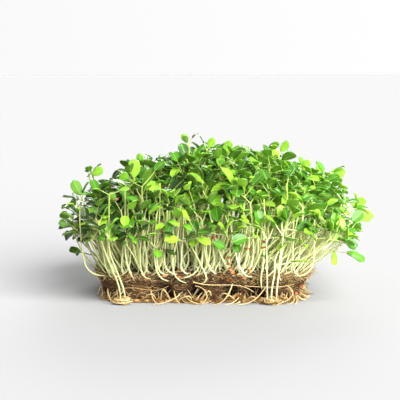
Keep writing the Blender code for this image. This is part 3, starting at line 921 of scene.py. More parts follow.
def patch_stem(draw, spot):
    """The control points of a stem rooted near this spot, or None where that is off the mat."""
    x = spot.x + draw.uniform(-0.5, 0.5) * COLUMN_STEP
    y = spot.y + draw.uniform(-0.5, 0.5) * ROW_STEP
    if not on_mat(x, y, 2 * MM):
        return None
    base = Vector((x, y, MAT_TOP - 1 * MM))
    return stem_controls(draw, base, filler_fork(draw, base))


def rim_stem(draw, x):
    """The control points of a stem that runs along the mat's front rim before it rises."""
    side = draw.choice((-1, 1))
    base = Vector((x, -MAT_DEPTH / 2 + draw.uniform(1.5, 4) * MM, MAT_TOP - draw.uniform(0.5, 2) * MM))
    swoop = Vector((side * draw.uniform(5, 13), -draw.uniform(3, 6), draw.uniform(-1, 1.5))) * MM
    fork = base + Vector((side * draw.uniform(2, 13), -draw.uniform(1, 7), draw.uniform(26, 46))) * MM
    below = fork - Vector((-side * draw.uniform(-2, 3) * MM, 0, (fork.z - base.z) * 0.7))
    return base, base + swoop, below, fork


def free_stem(room, number, draw, propose, spot):
    """The first stem proposed at this spot that meets no other plant, or None if each one does."""
    for _ in range(FILLER_TRIES):
        controls = propose(draw, spot)
        if controls:
            rings = stem_rings(bezier(controls, STEM_STATIONS), FILLER_STEM_RADIUS)
            if room.free(rings, number):
                room.take(rings, number)
                return controls
    return None


def filler_plants(room, plants_wanted, front_wanted, rim_wanted):
    """Younger plants that fill the room between the model's own."""
    stems = []
    for step, sweep in enumerate(SWEEPS):
        controls = [Vector((x, y, z)) * MM for (x, z), y in zip(sweep, SWEEP_DEPTHS)]
        number = SWEEP_NUMBER + step
        room.take(stem_rings(bezier(controls, 2 * STEM_STATIONS), FILLER_STEM_RADIUS), number)
        bunch = min(COLUMNS - 1, max(0, int((sweep[0][0] * MM / COLUMN_STEP) + COLUMNS / 2)))
        stems.append((bunch_name(bunch), number, plant_draw(number), controls))
    for bunch, spot in enumerate(bunch_spots()):
        for step in range(front_wanted if bunch < COLUMNS else plants_wanted):
            number = FILLER_NUMBER + 100 * bunch + step
            draw = plant_draw(number)
            stems.append((bunch_name(bunch), number, draw, free_stem(room, number, draw, patch_stem, spot)))
    for step in range(rim_wanted):
        number = RIM_NUMBER + step
        draw = plant_draw(number)
        x = ((step + 0.5) / rim_wanted - 0.5) * (MAT_WIDTH - 10 * MM)
        bunch = min(COLUMNS - 1, int((x / COLUMN_STEP) + COLUMNS / 2))
        stems.append((bunch_name(bunch), number, draw, free_stem(room, number, draw, rim_stem, x)))
    plants = []
    for name, number, draw, controls in stems:
        if controls:
            size = draw.uniform(*FILLER_LEAF) * MM
            leaves = filler_leaves(room, number, bezier(controls, STEM_STATIONS), size, draw)
            plants.append((name, number, controls, leaves, False))
    return plants


def solid_from_rings(rings):
    """Extrudes the first ring's face to each ring in turn, and closes the foot."""
    shape = bmesh.new()
    foot = [shape.verts.new(place) for place in rings[0]]
    face = shape.faces.new(foot)
    for ring in rings[1:]:
        face = bmesh.ops.extrude_discrete_faces(shape, faces=[face])["faces"][0]
        for corner, place in zip(face.verts, ring):
            corner.co = place
    shape.faces.new(reversed(foot))
    return shape


def new_shape():
    """An empty shape with the layers that the materials read."""
    shape = bmesh.new()
    shape.verts.layers.float.new("tint")
    shape.verts.layers.float.new("underside")
    shape.loops.layers.uv.new("UVMap")
    return shape


def mesh_of(shape, name="template"):
    """Turns a finished shape into a mesh."""
    made = bpy.data.meshes.new(name)
    shape.to_mesh(made)
    shape.free()
    return made


def tube_template(sides, stations):
    """A closed tube along Z, whose stations are at equal shares of its length."""
    shape = new_shape()
    bmesh.ops.create_cone(shape, cap_ends=True, segments=sides, radius1=1, radius2=1, depth=1)
    bmesh.ops.translate(shape, verts=shape.verts, vec=(0, 0, 0.5))
    upright = [edge for edge in shape.edges if abs(edge.verts[0].co.z - edge.verts[1].co.z) > 0.5]
    if stations > 2:
        bmesh.ops.subdivide_edges(shape, edges=upright, cuts=stations - 2)
    return mesh_of(shape)


def blade_template():
    """A flat closed blade in rows along Y, whose other side lies one away along Z."""
    shape = new_shape()
    rows = len(BLADE_ROWS) - 1
    bmesh.ops.create_grid(shape, x_segments=BLADE_COLUMNS, y_segments=rows, size=1, calc_uvs=True)
    bmesh.ops.solidify(shape, geom=shape.faces[:], thickness=1)
    return mesh_of(shape)


def husk_template():
    """Half of a split seed coat: an open shell with a thin wall."""
    shape = new_shape()
    bmesh.ops.create_icosphere(shape, subdivisions=2, radius=1)
    geometry = shape.verts[:] + shape.edges[:] + shape.faces[:]
    bmesh.ops.bisect_plane(
        shape, geom=geometry, plane_co=(0, 0, -0.15), plane_no=(0.2, 0, -1), clear_outer=True
    )
    bmesh.ops.solidify(shape, geom=shape.faces[:], thickness=0.16)
    return mesh_of(shape)


def add_copy(shape, mesh, tint):
    """Adds a copy of a template to a shape, and returns its vertices."""
    before = len(shape.verts)
    shape.from_mesh(mesh)
    shape.verts.ensure_lookup_table()
    copied = shape.verts[before:]
    layer = shape.verts.layers.float["tint"]
    for vertex in copied:
        vertex[layer] = tint
    return copied


def add_tube(shape, mesh, line, radii, tint):
    """Lays a tube template along a line, with a radius at each of its points."""
    side = Vector((1, 0, 0)) if abs(directions(line)[0].x) < 0.9 else Vector((0, 1, 0))
    frames = frames_along(line, side)
    for vertex in add_copy(shape, mesh, tint):
        station = round(vertex.co.z * (len(line) - 1))
        place, side, other = frames[station]
        vertex.co = place + (side * vertex.co.x + other * vertex.co.y) * radii[station]


def tapered(size, count):
    """A thread's radius at each of its points, halved at the tip."""
    return [size] * (count - 1) + [size * 0.5]


def add_blade(shape, mesh, leaf, thickness, tint, draw):
    """Bends a blade template into one leaf's blade: cupped across, drooping along and waved at its edge."""
    start, heading, across, petiole, length, width, droop = leaf
    place = start + heading * (petiole - 0.3 * MM)
    rows = []
    done = 0.0
    for share, spread in BLADE_ROWS:
        bend = Matrix.Rotation(droop * share, 3, across) @ heading
        place = place + bend * length * (share - done)
        done = share
        rows.append((place, bend, bend.cross(across), spread * width / 2, share))
    curl = draw.uniform(0.02, 0.13) * width
    ripple = draw.uniform(0.01, 0.05) * width
    phase = draw.uniform(0, 2 * math.pi)
    layer = shape.verts.layers.float["underside"]
    for vertex in add_copy(shape, mesh, tint):
        u = vertex.co.x
        below = 1.0 if abs(vertex.co.z) > 0.5 else 0.0
        row = round((vertex.co.y + 1) / 2 * (len(rows) - 1))
        middle, along, lift, half, share = rows[row]
        height = curl * u * u + ripple * math.sin(7 * share + phase + u) * u * u - below * thickness
        back = 0.09 * length * share**6 * u * u
        vertex.co = middle + across * (u * half) + lift * height - along * back
        vertex[layer] = below


def add_piece(name, shape, finish, slot, *nodes):
    """Makes an object of a shape, keeps it inside the model's box, and lets it ride on the block."""
    for vertex in shape.verts:
        for axis in range(3):
            vertex.co[axis] = min(max(vertex.co[axis], CAD_LOW[axis]), CAD_HIGH[axis])
    bmesh.ops.recalc_face_normals(shape, faces=shape.faces)
    mesh = mesh_of(shape, name)
    mesh.shade_smooth()
    mesh.set_sharp_from_angle(angle=SHARP_ANGLE)
    mesh.materials.append(finish)
    piece = bpy.data.objects.new(name, mesh)
    bpy.context.scene.collection.objects.link(piece)
    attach(piece, "root")
    if nodes:
        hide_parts(*nodes)
    return piece


MATERIALS = {}


def material_for(make):
    """The material that this function makes, made once."""
    look = bpy.context.scene.microgreens_look
    if make.__name__ not in MATERIALS:
        MATERIALS[make.__name__] = make(look)
    return MATERIALS[make.__name__]


def colour_property(name, description, code):
    """A colour that the user may change, from its sRGB hex value."""
    return bpy.props.FloatVectorProperty(
        name=name, description=description, subtype="COLOR", size=3, min=0.0, max=1.0, default=linear(code)
    )


class MicrogreensLook(bpy.types.PropertyGroup):
    # The leaf colours from dark to bright and the two glows are picked by each leaf's tint, which is partly
    # its age and partly painted light and shade: lighter at the front, top, right and outline, darker deep
    # inside
    leaf_dark: colour_property("Dark leaf", "Upper side of the oldest leaves", "#0E2C08")
    leaf_middle: colour_property("Leaf", "Upper side of most leaves", "#50981E")
    leaf_bright: colour_property("Bright leaf", "Upper side of the youngest leaves", "#9CCA38")
    leaf_underside: colour_property("Leaf underside", "Waxy lower side of the leaves", "#7CA63C")
    glow_deep: colour_property("Glow of old leaves", "Light that comes through the oldest leaves", "#4E880A")
    glow_young: colour_property("Glow of young leaves", "Light that comes through the youngest", "#BCDE34")
    leaf_rib: colour_property("Leaf rib", "Midrib and side veins", "#BEDA62")
    stem_root: colour_property("Stem foot", "Stems where they leave the mat", "#F8F7D6")
    stem_middle: colour_property("Stem", "Stems half way up", "#ECEEBC")
    stem_top: colour_property("Petiole", "Stems and petioles at the leaves", "#C0DA62")
    stem_glow: colour_property("Glow of stems", "Light that comes through the stems", "#E6EE9A")
    mat_dark: colour_property("Wet crumbs", "Hollows and wet crumbs of the mat", "#190E06")
    mat_middle: colour_property("Crumbs", "Crumbs of the mat", "#33200C")
    mat_pale: colour_property("Dry crumbs", "Dry crumbs of the mat", "#563C1B")
    # Painted shade deep in the mat's front hollows
    mat_hollow_shade: colour_property("Hollow", "Depths of the mat's hollows", "#0E0805")
    root_brown: colour_property("Old root", "Oldest root threads", "#5A3A16")
    root_tan: colour_property("Root", "Root threads", "#815C26")
    root_cream: colour_property("Young root", "Freshest root threads", "#DAC188")
    felt_ochre: colour_property("Felt", "Skins of matted roots", "#987034")
    husk_dark: colour_property("Husk shade", "Darker patches of the seed coats", "#5F3011")
    husk_orange: colour_property("Husk", "Seed coats", "#9C5E2A")
    floor: colour_property("Floor", "The card that the block stands on", "#989898")


class MicrogreensPlants(bpy.types.PropertyGroup):
    fillers: bpy.props.IntProperty(
        name="Plants a bunch", description="Plants grown between the model's own", default=30, min=0, max=60
    )
    front_fillers: bpy.props.IntProperty(
        name="Front plants", description="The same for each bunch of the front row", default=44, min=0, max=60
    )
    rim_plants: bpy.props.IntProperty(
        name="Rim plants", description="Plants whose stems hook over the front rim", default=40, min=0, max=90
    )
    stem_radius: bpy.props.FloatProperty(
        name="Stem radius", description="Half a stem's thickness", default=0.4 * MM, unit="LENGTH"
    )
    petiole_radius: bpy.props.FloatProperty(
        name="Petiole radius", description="Half a petiole's thickness", default=0.24 * MM, unit="LENGTH"
    )
    blade_thickness: bpy.props.FloatProperty(
        name="Blade thickness", description="Thickness of a leaf's blade", default=0.34 * MM, unit="LENGTH"
    )


class MicrogreensMat(bpy.types.PropertyGroup):
    side_fibres: bpy.props.IntProperty(
        name="Side fibres", description="Threads on the mat's sides", default=2600, min=0
    )
    top_fibres: bpy.props.IntProperty(
        name="Top fibres", description="Threads on the mat's top", default=500, min=0
    )
    fuzz: bpy.props.IntProperty(
        name="Root hairs", description="White root hairs on the rim", default=2200, min=0
    )
    tangle: bpy.props.IntProperty(
        name="Foot roots", description="Roots that spill from the mat's foot", default=280, min=0
    )
    husks: bpy.props.IntProperty(name="Husks", description="Split seed coats", default=46, min=0)
    thread_radius: bpy.props.FloatProperty(
        name="Thread radius", description="Half a root thread's thickness", default=0.1 * MM, unit="LENGTH"
    )


class MicrogreensStage(bpy.types.PropertyGroup):
    lens: bpy.props.FloatProperty(
        name="Lens", description="The camera's focal length in millimetres", default=109.0, min=10.0
    )
    distance: bpy.props.FloatProperty(
        name="Distance", description="From the camera to the block", default=0.62, unit="LENGTH"
    )
    elevation: bpy.props.FloatProperty(
        name="Elevation",
        description="The camera's angle above level",
        default=math.radians(7.5),
        unit="ROTATION",
    )
    back_light: bpy.props.FloatProperty(
        name="Back light", description="Strength of the soft light from behind", default=6.4, min=0.0
    )
    side_light: bpy.props.FloatProperty(
        name="Side light", description="Strength of the soft light from the right", default=12.4, min=0.0
    )
    backdrop: bpy.props.FloatProperty(
        name="Backdrop", description="Brightness of the white wall behind", default=0.975, min=0.0
    )
    fill: bpy.props.FloatProperty(
        name="Fill", description="Brightness of the room in front", default=0.34, min=0.0
    )


class PieceOperator:
    """What the operators share."""

    bl_options = {"REGISTER", "UNDO"}

    def execute(self, context):
        self.make(context.scene)
        return {"FINISHED"}


class MICROGREENS_OT_plants(PieceOperator, bpy.types.Operator):
    """Grows the plants and makes each bunch's stems and leaves"""

    bl_idname = "microgreens.plants"
    bl_label = "Stems and leaves"

    def make(self, scene):
        wanted = scene.microgreens_plants
        # Blender's vector noise, by which the stems sway, starts from the clock until it is seeded
        noise.seed_set(SEED)
        room = Room()
        plants = edge_plants(room) + model_plants(room)
        plants += filler_plants(room, wanted.fillers, wanted.front_fillers, wanted.rim_plants)
        if len(plants) < len(bunch_spots()):
            raise RuntimeError("too few plants found room on the mat")
        stem_tube = tube_template(STEM_FINE_SIDES, STEM_FINE_STATIONS)
        petiole_tube = tube_template(PETIOLE_SIDES, PETIOLE_STATIONS)
        blade = blade_template()
        for node in sorted({plant[0] for plant in plants}):
            stems, leaves = new_shape(), new_shape()
            for _, number, controls, drawn, outer in (plant for plant in plants if plant[0] == node):
                draw = random.Random(FINISH_SEED + number)
                self.add_stem(stems, stem_tube, controls, wanted.stem_radius, draw)
                for order, leaf in enumerate(drawn):
                    self.add_petiole(stems, petiole_tube, leaf, wanted.petiole_radius, draw)
                    tint = self.leaf_tint(leaf, outer and order == 0, draw)
                    add_blade(leaves, blade, leaf, wanted.blade_thickness, tint, draw)
            tag = node.replace("bunch_", "")
            add_piece(f"stems_{tag}", stems, material_for(stem_material), "stem", node)
            add_piece(f"leaves_{tag}", leaves, material_for(leaf_material), "foliage", node)

    def add_stem(self, shape, tube, controls, radius, draw):
        """Adds a stem that wanders a little, thin at its root and swollen at its fork."""
        line = bezier(controls, STEM_FINE_STATIONS)
        wander = Vector((draw.uniform(-50, 50), draw.uniform(-50, 50), 0))
        for place in line[1:-1]:
            sway = noise.noise_vector(place / (9 * MM) + wander) * 0.5 * MM
            place += Vector((sway.x, sway.y, 0))
        # Thin at the root, stoutest above it, then tapering to the fork
        last = STEM_FINE_STATIONS - 1
        radii = [radius * min(0.45 + 0.4 * step, 1.14 - 0.34 * step / last) for step in range(last + 1)]
        radii[-1] *= 1.25
        thick = draw.uniform(0.82, 1.12)
        add_tube(shape, tube, line, [size * thick for size in radii], draw.random())

    def add_petiole(self, shape, tube, leaf, radius, draw):
        """Adds the sagging stalk that carries one leaf, and ends under its blade."""
        start, heading, across, petiole, length = leaf[:5]
        foot = start - heading * 0.2 * MM
        tip = start + heading * (petiole + 0.12 * length)
        sag = heading.cross(across) * petiole * draw.uniform(-0.06, 0.02)
        line = [foot, foot.lerp(tip, 0.33) + sag, foot.lerp(tip, 0.67) + sag, tip]
        add_tube(shape, tube, line, [radius * 1.25, radius, radius * 0.9, radius * 0.45], draw.random())

    def leaf_tint(self, leaf, outer, draw):
        """How light a leaf's green is: partly its own age, drawn at random, and partly painted light and
        shade, lighter in front, on top, to the right and at the outline, darker deep inside.
        """
        place = leaf[0]
        rise = (place.z - canopy_height(place.x, place.y)) / LEAFY_DEPTH + 1
        # Painted shade: leaves behind the front are darker, the more so the deeper they lie under the
        # canopy's top
        lit_share = FRONT_LIT_TINT
        if place.y >= -MAT_DEPTH / 3:
            lit_share = INNER_SHADED_TINT + INNER_SHADED_TINT * max(0.0, min(1.0, rise))
        # Most leaves are either old or young
        youth = draw.random()
        youth = youth**2 * (3 - 2 * youth)
        # Painted light: leaves to the right are lighter, and an outer plant's lead leaf lighter still
        tint = lit_share * (youth**2 + 0.04) + RIGHT_PAINTED_LIGHT * place.x / CANOPY_HALF
        return min(MOST_FRESHNESS, tint + (LEAD_PAINTED_LIGHT if outer else 0.0))


class MICROGREENS_OT_mat(PieceOperator, bpy.types.Operator):
    """Makes the crumbly mat with its hollows"""

    bl_idname = "microgreens.mat"
    bl_label = "Root mat"

    def make(self, scene):
        rings = []
        for step in range(MAT_FINE_LEVELS + 1):
            ring = mat_ring(step / MAT_FINE_LEVELS)
            rings.append([place + outwards(place) * crumbs(place) for place in ring])
        for share in MAT_FINE_TOP_RINGS:
            rings.append([self.top_place(place, share) for place in mat_ring(1.0)])
        shape = solid_from_rings(rings)
        # The tint is painted shade, strongest deep in the front hollows
        layer = shape.verts.layers.float.new("tint")
        for vertex in shape.verts:
            level = vertex.co.z / MAT_TOP
            deep = hollow_at(vertex.co.x, vertex.co.y, level) if vertex.co.y < -0.3 * MAT_DEPTH else 0.0
            vertex[layer] = min(1.0, deep / (0.5 * HOLLOW_DEPTH))
        add_piece("root_mat_crumb", shape, material_for(mat_material), "root_mat", "root_mat")

    def top_place(self, place, share):
        """The point of the mat's top at this share of the way from its middle to the rim."""
        x, y = place.x * share, place.y * share
        return Vector((x, y, mat_top(x, y)))


def mat_top(x, y):
    """The height of the mat's top at this spot."""
    return MAT_TOP + 0.45 * MM * rough(x, y, 0, 11 * MM) + crumbs(Vector((x, y, 0)))


def side_line(draw, share, level, reach, turn, bow):
    """A thread's line along the mat's side, bowed off it in the middle."""
    perimeter = 2 * (MAT_WIDTH + MAT_DEPTH) - (8 - 2 * math.pi) * MAT_CORNER
    line = []
    bend = draw.uniform(-1.2, 1.2)
    for step in range(THREAD_STATIONS):
        t = step / (THREAD_STATIONS - 1)
        angle = turn + bend * t
        at = share + math.cos(angle) * reach * t / perimeter
        height = min(0.99, max(0.03, level + math.sin(angle) * reach * t / MAT_TOP))
        place = mat_place(at, height)
        lift = crumbs(place) * 0.7 + 0.1 * MM + bow * math.sin(math.pi * t)
        line.append(place + outwards(place) * lift)
    return line


def top_line(draw, x, y, reach, turn, bow):
    """A thread's line across the mat's top."""
    line = []
    bend = draw.uniform(-1.5, 1.5)
    for step in range(THREAD_STATIONS):
        t = step / (THREAD_STATIONS - 1)
        angle = turn + bend * t
        spot_x, spot_y = x + math.cos(angle) * reach * t, y + math.sin(angle) * reach * t
        if not on_mat(spot_x, spot_y, 0.5 * MM):
            return None
        spot_z = mat_top(spot_x, spot_y) + 0.1 * MM + bow * math.sin(math.pi * t)
        line.append(Vector((spot_x, spot_y, spot_z)))
    return line


class MICROGREENS_OT_fibres(PieceOperator, bpy.types.Operator):
    """Lays the root threads and the white root hairs over the mat"""

    bl_idname = "microgreens.fibres"
    bl_label = "Root threads"

    def make(self, scene):
        wanted = scene.microgreens_mat
        draw = random.Random(SEED + 1)
        tube = tube_template(3, THREAD_STATIONS)
        shape = new_shape()
        for _ in range(wanted.side_fibres):
            share, level = draw.random(), draw.random()
            middle = mat_place(share, level)
            if hollow_at(middle.x, middle.y, level) > 0.25 * HOLLOW_DEPTH:
                continue
            turn = draw.choice((0, math.pi)) + draw.gauss(0, 0.55)
            reach, bow = draw.uniform(2, 9) * MM, draw.uniform(0, 0.9) ** 2 * MM
            line = side_line(draw, share, level, reach, turn, bow)
            size = wanted.thread_radius * draw.uniform(0.5, 1.35)
            add_tube(shape, tube, line, tapered(size, THREAD_STATIONS), 0.85 * draw.random() ** 1.8)
        for _ in range(wanted.top_fibres):
            x, y = draw.uniform(-0.5, 0.5) * MAT_WIDTH, draw.uniform(-0.5, 0.5) * MAT_DEPTH
            reach, bow = draw.uniform(3, 12) * MM, draw.uniform(0, 1.2) * MM
            line = top_line(draw, x, y, reach, draw.uniform(0, 2 * math.pi), bow)
            if line:
                size = wanted.thread_radius * draw.uniform(0.5, 1.3)
                add_tube(shape, tube, line, tapered(size, THREAD_STATIONS), draw.uniform(0.3, 1.0))
        add_piece("root_threads", shape, material_for(root_material), "root_mat")
        self.make_fuzz(wanted.fuzz)

    def make_fuzz(self, count):
        """Stands the root hairs along the rim, most of them round the front."""
        draw = random.Random(SEED + 2)
        tube = tube_template(3, HAIR_STATIONS)
        shape = new_shape()
        for step in range(count):
            share = draw.uniform(0.8, 1.0) if step % 3 == 0 else draw.random()
            level = 1 - 0.35 * draw.random() ** 1.5
            place = mat_place(share, level)
            out = outwards(place)
            place = place + out * crumbs(place) * 0.6
            lean = out * draw.uniform(0.1, 1)
            lean += Vector((draw.gauss(0, 0.6), draw.gauss(0, 0.6), draw.uniform(-0.4, 1)))
            lean.normalize()
            reach = draw.uniform(1.2, 3.6) * MM
            curl = Vector((draw.gauss(0, 0.5), draw.gauss(0, 0.5), -0.4)) * reach * 0.5
            line = [place, place + lean * reach * 0.5, place + lean * reach + curl]
            add_tube(shape, tube, line, HAIR_RADII, draw.uniform(0.75, 1.0))
        add_piece("root_hairs", shape, material_for(root_material), "root_mat")


class MICROGREENS_OT_felt(PieceOperator, bpy.types.Operator):
    """Makes the felt of roots under the mat and its curled skins"""

    bl_idname = "microgreens.felt"
    bl_label = "Root felt"

    def make(self, scene):
        rings = [self.ring(0.0, -0.6), self.ring(0.25, 0), self.ring(0.8, 0.1), self.ring(1.0, -0.7)]
        felt = solid_from_rings(rings)
        add_piece("root_felt_slab", felt, material_for(felt_material), "root_felt", "root_felt")
        draw = random.Random(SEED + 3)
        shape = new_shape()
        for x, width, height, curl in FELT_SKINS:
            self.add_skin(shape, draw, x * MM, width * MM, height * MM, curl)
        add_piece("root_felt_skins", shape, material_for(felt_material), "root_felt")

    def ring(self, share, out):
        """One ring of the felt, at this share of its height, moved out by this many millimetres."""
        half_x = MAT_WIDTH / 2 - MAT_TAPER + FELT_REACH
        half_y = MAT_DEPTH / 2 - MAT_TAPER + FELT_REACH
        ring = []
        for step in range(MAT_FINE_SIDES):
            flat = rounded_rectangle(half_x, half_y, MAT_CORNER - MAT_TAPER / 2, step / MAT_FINE_SIDES)
            outward = flat.normalized()
            flat = flat + outward * FELT_RAGGEDNESS * rough(flat.x, flat.y, 0, 4.5 * MM)
            flat += outward * (0.7 * MM * rough(flat.x, flat.y, share * 5 * MM, 1.6 * MM) + out * MM)
            z = FELT_HEIGHT * share
            if share == 1:
                z += 0.6 * MM * rough(flat.x, flat.y, 0, 2.5 * MM)
            ring.append(Vector((flat.x, flat.y, max(0.0, z))))
        return ring

    def add_skin(self, shape, draw, x, width, height, curl):
        """A skin that stands up from the felt's front rim and curls over."""
        flap = new_shape()
        bmesh.ops.create_grid(flap, x_segments=8, y_segments=6, size=0.5)
        phase = draw.uniform(0, 6)
        for vertex in flap.verts:
            u, v = vertex.co.x, vertex.co.y + 0.5
            ragged = 1 + 0.25 * rough(u * 9 + phase, v, 0, 1)
            angle = 0.5 + curl * v
            fold = height * 0.5 * math.sin(angle * 1.3) * v
            forward = SKIN_FOOT + 1.5 * MM * math.sin(3 * u + phase) - fold
            vertex.co = Vector((
                x + width * u * (1 - 0.35 * v * v),
                max(forward, SKIN_LIMIT),
                0.5 * MM + height * v * ragged * (1 - 0.4 * abs(u)) + 0.3 * MM * math.sin(9 * u + phase),
            ))
        bmesh.ops.solidify(flap, geom=flap.faces[:], thickness=0.3 * MM)
        shape.from_mesh(mesh_of(flap))


class MICROGREENS_OT_tangle(PieceOperator, bpy.types.Operator):
    """Makes the roots that spill from the mat's foot, and the loops before its front"""

    bl_idname = "microgreens.tangle"
    bl_label = "Foot roots"

    def make(self, scene):
        draw = random.Random(SEED + 4)
        fine, stout = tube_template(4, ROOT_STATIONS), tube_template(6, STOUT_STATIONS)
        last = STOUT_STATIONS - 1
        shape = new_shape()
        for _ in range(scene.microgreens_mat.tangle):
            self.add_spill(shape, fine, draw)
        rim = -(MAT_DEPTH / 2 - MAT_TAPER + FELT_REACH) + 1.2 * MM
        for middle, span, height, lean in LOOPS:
            line = []
            for step in range(STOUT_STATIONS):
                rise = math.sin(math.pi * step / last)
                x = middle + (step / last - 0.5) * span + lean * rise
                line.append(Vector((x * MM, rim - LOOP_REACH * rise, (0.8 + height * rise) * MM)))
            add_tube(shape, stout, line, [LOOP_RADIUS] * STOUT_STATIONS, draw.uniform(0.6, 1.0))
        for controls, size, tint in FRONT_ROOTS:
            line = bezier([Vector(point) * MM for point in controls], STOUT_STATIONS)
            radii = [size * MM * (1 - 0.4 * step / last) for step in range(STOUT_STATIONS)]
            add_tube(shape, stout, line, radii, tint)
        add_piece("foot_roots", shape, material_for(root_material), "root_felt")

    def add_spill(self, shape, tube, draw):
        """Adds a root that drops from the mat's side and lies along its foot."""
        share = draw.random()
        level = draw.uniform(0.02, 0.4)
        place = mat_place(share, level)
        out = outwards(place)
        along = Vector((-out.y, out.x, 0)) * draw.choice((-1, 1))
        reach = draw.uniform(3, 11) * MM
        size = draw.uniform(0.12, 0.3) * MM
        low = mat_place(share, 0)
        down = Vector((low.x, low.y, size)) + out * draw.uniform(2.2, 4.4) * MM
        end = down + along * reach + out * draw.uniform(-1.5, 1.8) * MM
        lead = place + out * draw.uniform(1, 3) * MM + along * reach * 0.2
        line = bezier((place - out * 0.5 * MM, lead, down + along * reach * 0.3, end), ROOT_STATIONS)
        for point in line:
            point.z = max(point.z, size)
        add_tube(shape, tube, line, tapered(size, ROOT_STATIONS), draw.uniform(0.4, 1.1))


class MICROGREENS_OT_husks(PieceOperator, bpy.types.Operator):
    """Scatters the split seed coats"""

    bl_idname = "microgreens.husks"
    bl_label = "Husks"

    def make(self, scene):
        draw = random.Random(SEED + 5)
        shell = husk_template()
        shape = new_shape()
        for x, z in FRONT_HUSKS:
            level = min(1.0, z * MM / MAT_TOP)
            front = mat_ring(level)[MAT_FINE_SIDES // 2 :]
            place = min(front, key=lambda spot: abs(spot.x - x * MM) + max(0.0, spot.y))
            self.add_husk(shape, shell, Vector((x * MM, place.y - 0.9 * MM, z * MM)), draw)
        for spot in HUNG_HUSKS:
            self.add_husk(shape, shell, Vector(spot) * MM, draw)
        while len(shape.verts) < scene.microgreens_mat.husks * len(shell.vertices):
            x, y = draw.uniform(-0.48, 0.48) * MAT_WIDTH, draw.uniform(-0.48, 0.48) * MAT_DEPTH
            if on_mat(x, y, 1 * MM):
                self.add_husk(shape, shell, Vector((x, y, mat_top(x, y) + 0.5 * MM)), draw)
        add_piece("husks", shape, material_for(husk_material), "husk")

    def add_husk(self, shape, shell, place, draw):
        """Adds one seed coat, turned and tipped at random."""
        size = draw.uniform(0.85, 1.15)
        turn = Matrix.Rotation(draw.uniform(0, 6.28), 4, "Z") @ Matrix.Rotation(draw.uniform(-1, 1), 4, "X")
        scale = Matrix.Diagonal((*(half * size for half in HUSK_SIZE), 1))
        matrix = Matrix.Translation(place) @ turn @ scale
        bmesh.ops.transform(shape, matrix=matrix, verts=add_copy(shape, shell, draw.random()))


class MICROGREENS_OT_knots(PieceOperator, bpy.types.Operator):
    """Winds the knots of roots at the feet of the plants before the mat"""

    bl_idname = "microgreens.knots"
    bl_label = "Root knots"

    def make(self, scene):
        draw = random.Random(SEED + 6)
        tube = tube_template(5, ROOT_STATIONS)
        for name, x, y, _ in EDGE_BUNCHES:
            centre = Vector((x * MM, y * MM, KNOT_SIZE[2]))
            shape = new_shape()
            for _ in range(KNOT_ROOTS):
                self.add_winding(shape, tube, centre, draw)
            knot = name.replace("edge_bunch", "root_knot")
            add_piece(knot, shape, material_for(root_material), "root_felt", name)

    def add_winding(self, shape, tube, centre, draw):
        """A root wound part of the way round the knot."""
        pole = Vector((draw.gauss(0, 1), draw.gauss(0, 1), draw.gauss(0, 1))).normalized()
        first = pole.orthogonal().normalized()
        second = pole.cross(first)
        begin, sweep = draw.uniform(0, 6.28), draw.uniform(1.5, 4.0)
        deep = draw.uniform(0.55, 0.98)
        size = draw.uniform(0.2, 0.36) * MM
        line = []
        for step in range(ROOT_STATIONS):
            angle = begin + sweep * step / (ROOT_STATIONS - 1)
            way = (first * math.cos(angle) + second * math.sin(angle)) * deep
            place = centre + Vector([way[axis] * (KNOT_SIZE[axis] - size) for axis in range(3)])
            place.z = max(place.z, size)
            line.append(place)
        add_tube(shape, tube, line, [size] * ROOT_STATIONS, draw.uniform(0.4, 1.0))


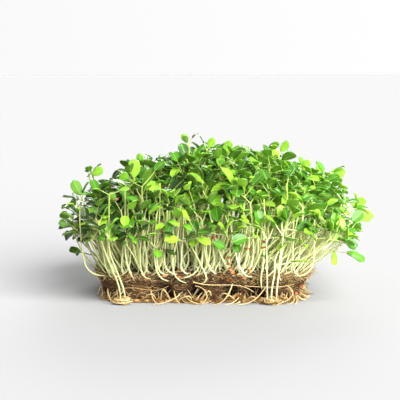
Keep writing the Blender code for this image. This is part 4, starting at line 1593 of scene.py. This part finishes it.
class MICROGREENS_OT_stage(PieceOperator, bpy.types.Operator):
    """Makes the white floor, the lights and the camera"""

    bl_idname = "microgreens.stage"
    bl_label = "Stage"

    def make(self, scene):
        wanted = scene.microgreens_stage
        shape = bmesh.new()
        bmesh.ops.create_grid(shape, x_segments=8, y_segments=8, size=4)
        mesh = mesh_of(shape, "floor")
        mesh.materials.append(floor_material(scene.microgreens_look.floor))
        floor = bpy.data.objects.new("floor", mesh)
        scene.collection.objects.link(floor)
        for name, (bearing, spread) in LIGHTS.items():
            self.add_light(scene, name, bearing, spread, getattr(wanted, name))
        world = bpy.data.worlds.new("white_room")
        world.use_nodes = True
        tree = world.node_tree
        towards = add_node(tree, "TexCoord").outputs["Generated"]
        way = add_node(tree, "SeparateXYZ", {0: towards}).outputs
        strength = add_node(
            tree, "MapRange", {0: way["Y"], 1: -0.5, 2: 0.8, 3: wanted.fill, 4: wanted.backdrop}
        ).outputs[0]
        # The room is a little brighter to the right
        strength = add_node(
            tree, "Math", {0: way["X"], 1: 0.15, 2: strength}, operation="MULTIPLY_ADD"
        ).outputs[0]
        tree.nodes["Background"].inputs["Color"].default_value = (1, 1, 1, 1)
        tree.links.new(strength, tree.nodes["Background"].inputs["Strength"])
        scene.world = world
        scene.view_settings.view_transform = "Standard"
        self.add_camera(scene, wanted)

    def add_light(self, scene, name, bearing, spread, strength):
        """Adds a wide, far light at this bearing."""
        lamp = bpy.data.lights.new(name, "SUN")
        lamp.angle = math.radians(spread)
        lamp.energy = strength
        light = bpy.data.objects.new(name, lamp)
        round_it, above = (math.radians(angle) for angle in bearing)
        towards = Vector((math.sin(round_it), math.cos(round_it), math.tan(above))).normalized()
        light.rotation_euler = towards.to_track_quat("Z", "Y").to_euler()
        scene.collection.objects.link(light)

    def add_camera(self, scene, wanted):
        """Adds the camera, which looks a little down at the block's front."""
        lens = bpy.data.cameras.new("camera")
        lens.lens = wanted.lens
        lens.sensor_width = 36
        lens.clip_start, lens.clip_end = 0.01, 20
        camera = bpy.data.objects.new("camera", lens)
        back = Vector((0, -math.cos(wanted.elevation), math.sin(wanted.elevation)))
        camera.location = AIM + back * wanted.distance
        camera.rotation_euler = (-back).to_track_quat("-Z", "Y").to_euler()
        scene.collection.objects.link(camera)
        scene.camera = camera


OPERATORS = (
    MICROGREENS_OT_plants,
    MICROGREENS_OT_mat,
    MICROGREENS_OT_fibres,
    MICROGREENS_OT_felt,
    MICROGREENS_OT_tangle,
    MICROGREENS_OT_husks,
    MICROGREENS_OT_knots,
    MICROGREENS_OT_stage,
)
GROUPS = {
    "microgreens_look": MicrogreensLook,
    "microgreens_plants": MicrogreensPlants,
    "microgreens_mat": MicrogreensMat,
    "microgreens_stage": MicrogreensStage,
}


class MICROGREENS_PT_block(bpy.types.Panel):
    """Lists the block's settings and the operators that make it"""

    bl_idname = "MICROGREENS_PT_block"
    bl_label = "Microgreens"
    bl_space_type = "VIEW_3D"
    bl_region_type = "UI"
    bl_category = "Microgreens"

    def draw(self, context):
        for name, group in GROUPS.items():
            box = self.layout.box()
            for setting in group.__annotations__:
                box.prop(getattr(context.scene, name), setting)
        for operator in OPERATORS:
            self.layout.operator(operator.bl_idname)


def register():
    for kind in (*GROUPS.values(), *OPERATORS, MICROGREENS_PT_block):
        bpy.utils.register_class(kind)
    for name, group in GROUPS.items():
        setattr(bpy.types.Scene, name, bpy.props.PointerProperty(type=group))


def unregister():
    for name in GROUPS:
        delattr(bpy.types.Scene, name)
    for kind in reversed((*GROUPS.values(), *OPERATORS, MICROGREENS_PT_block)):
        bpy.utils.unregister_class(kind)


def main():
    """Registers the add-on and makes every piece in order."""
    register()
    for name in ("plants", "mat", "fibres", "felt", "tangle", "husks", "knots", "stage"):
        getattr(bpy.ops.microgreens, name)()


if __name__ == "__main__":
    main()
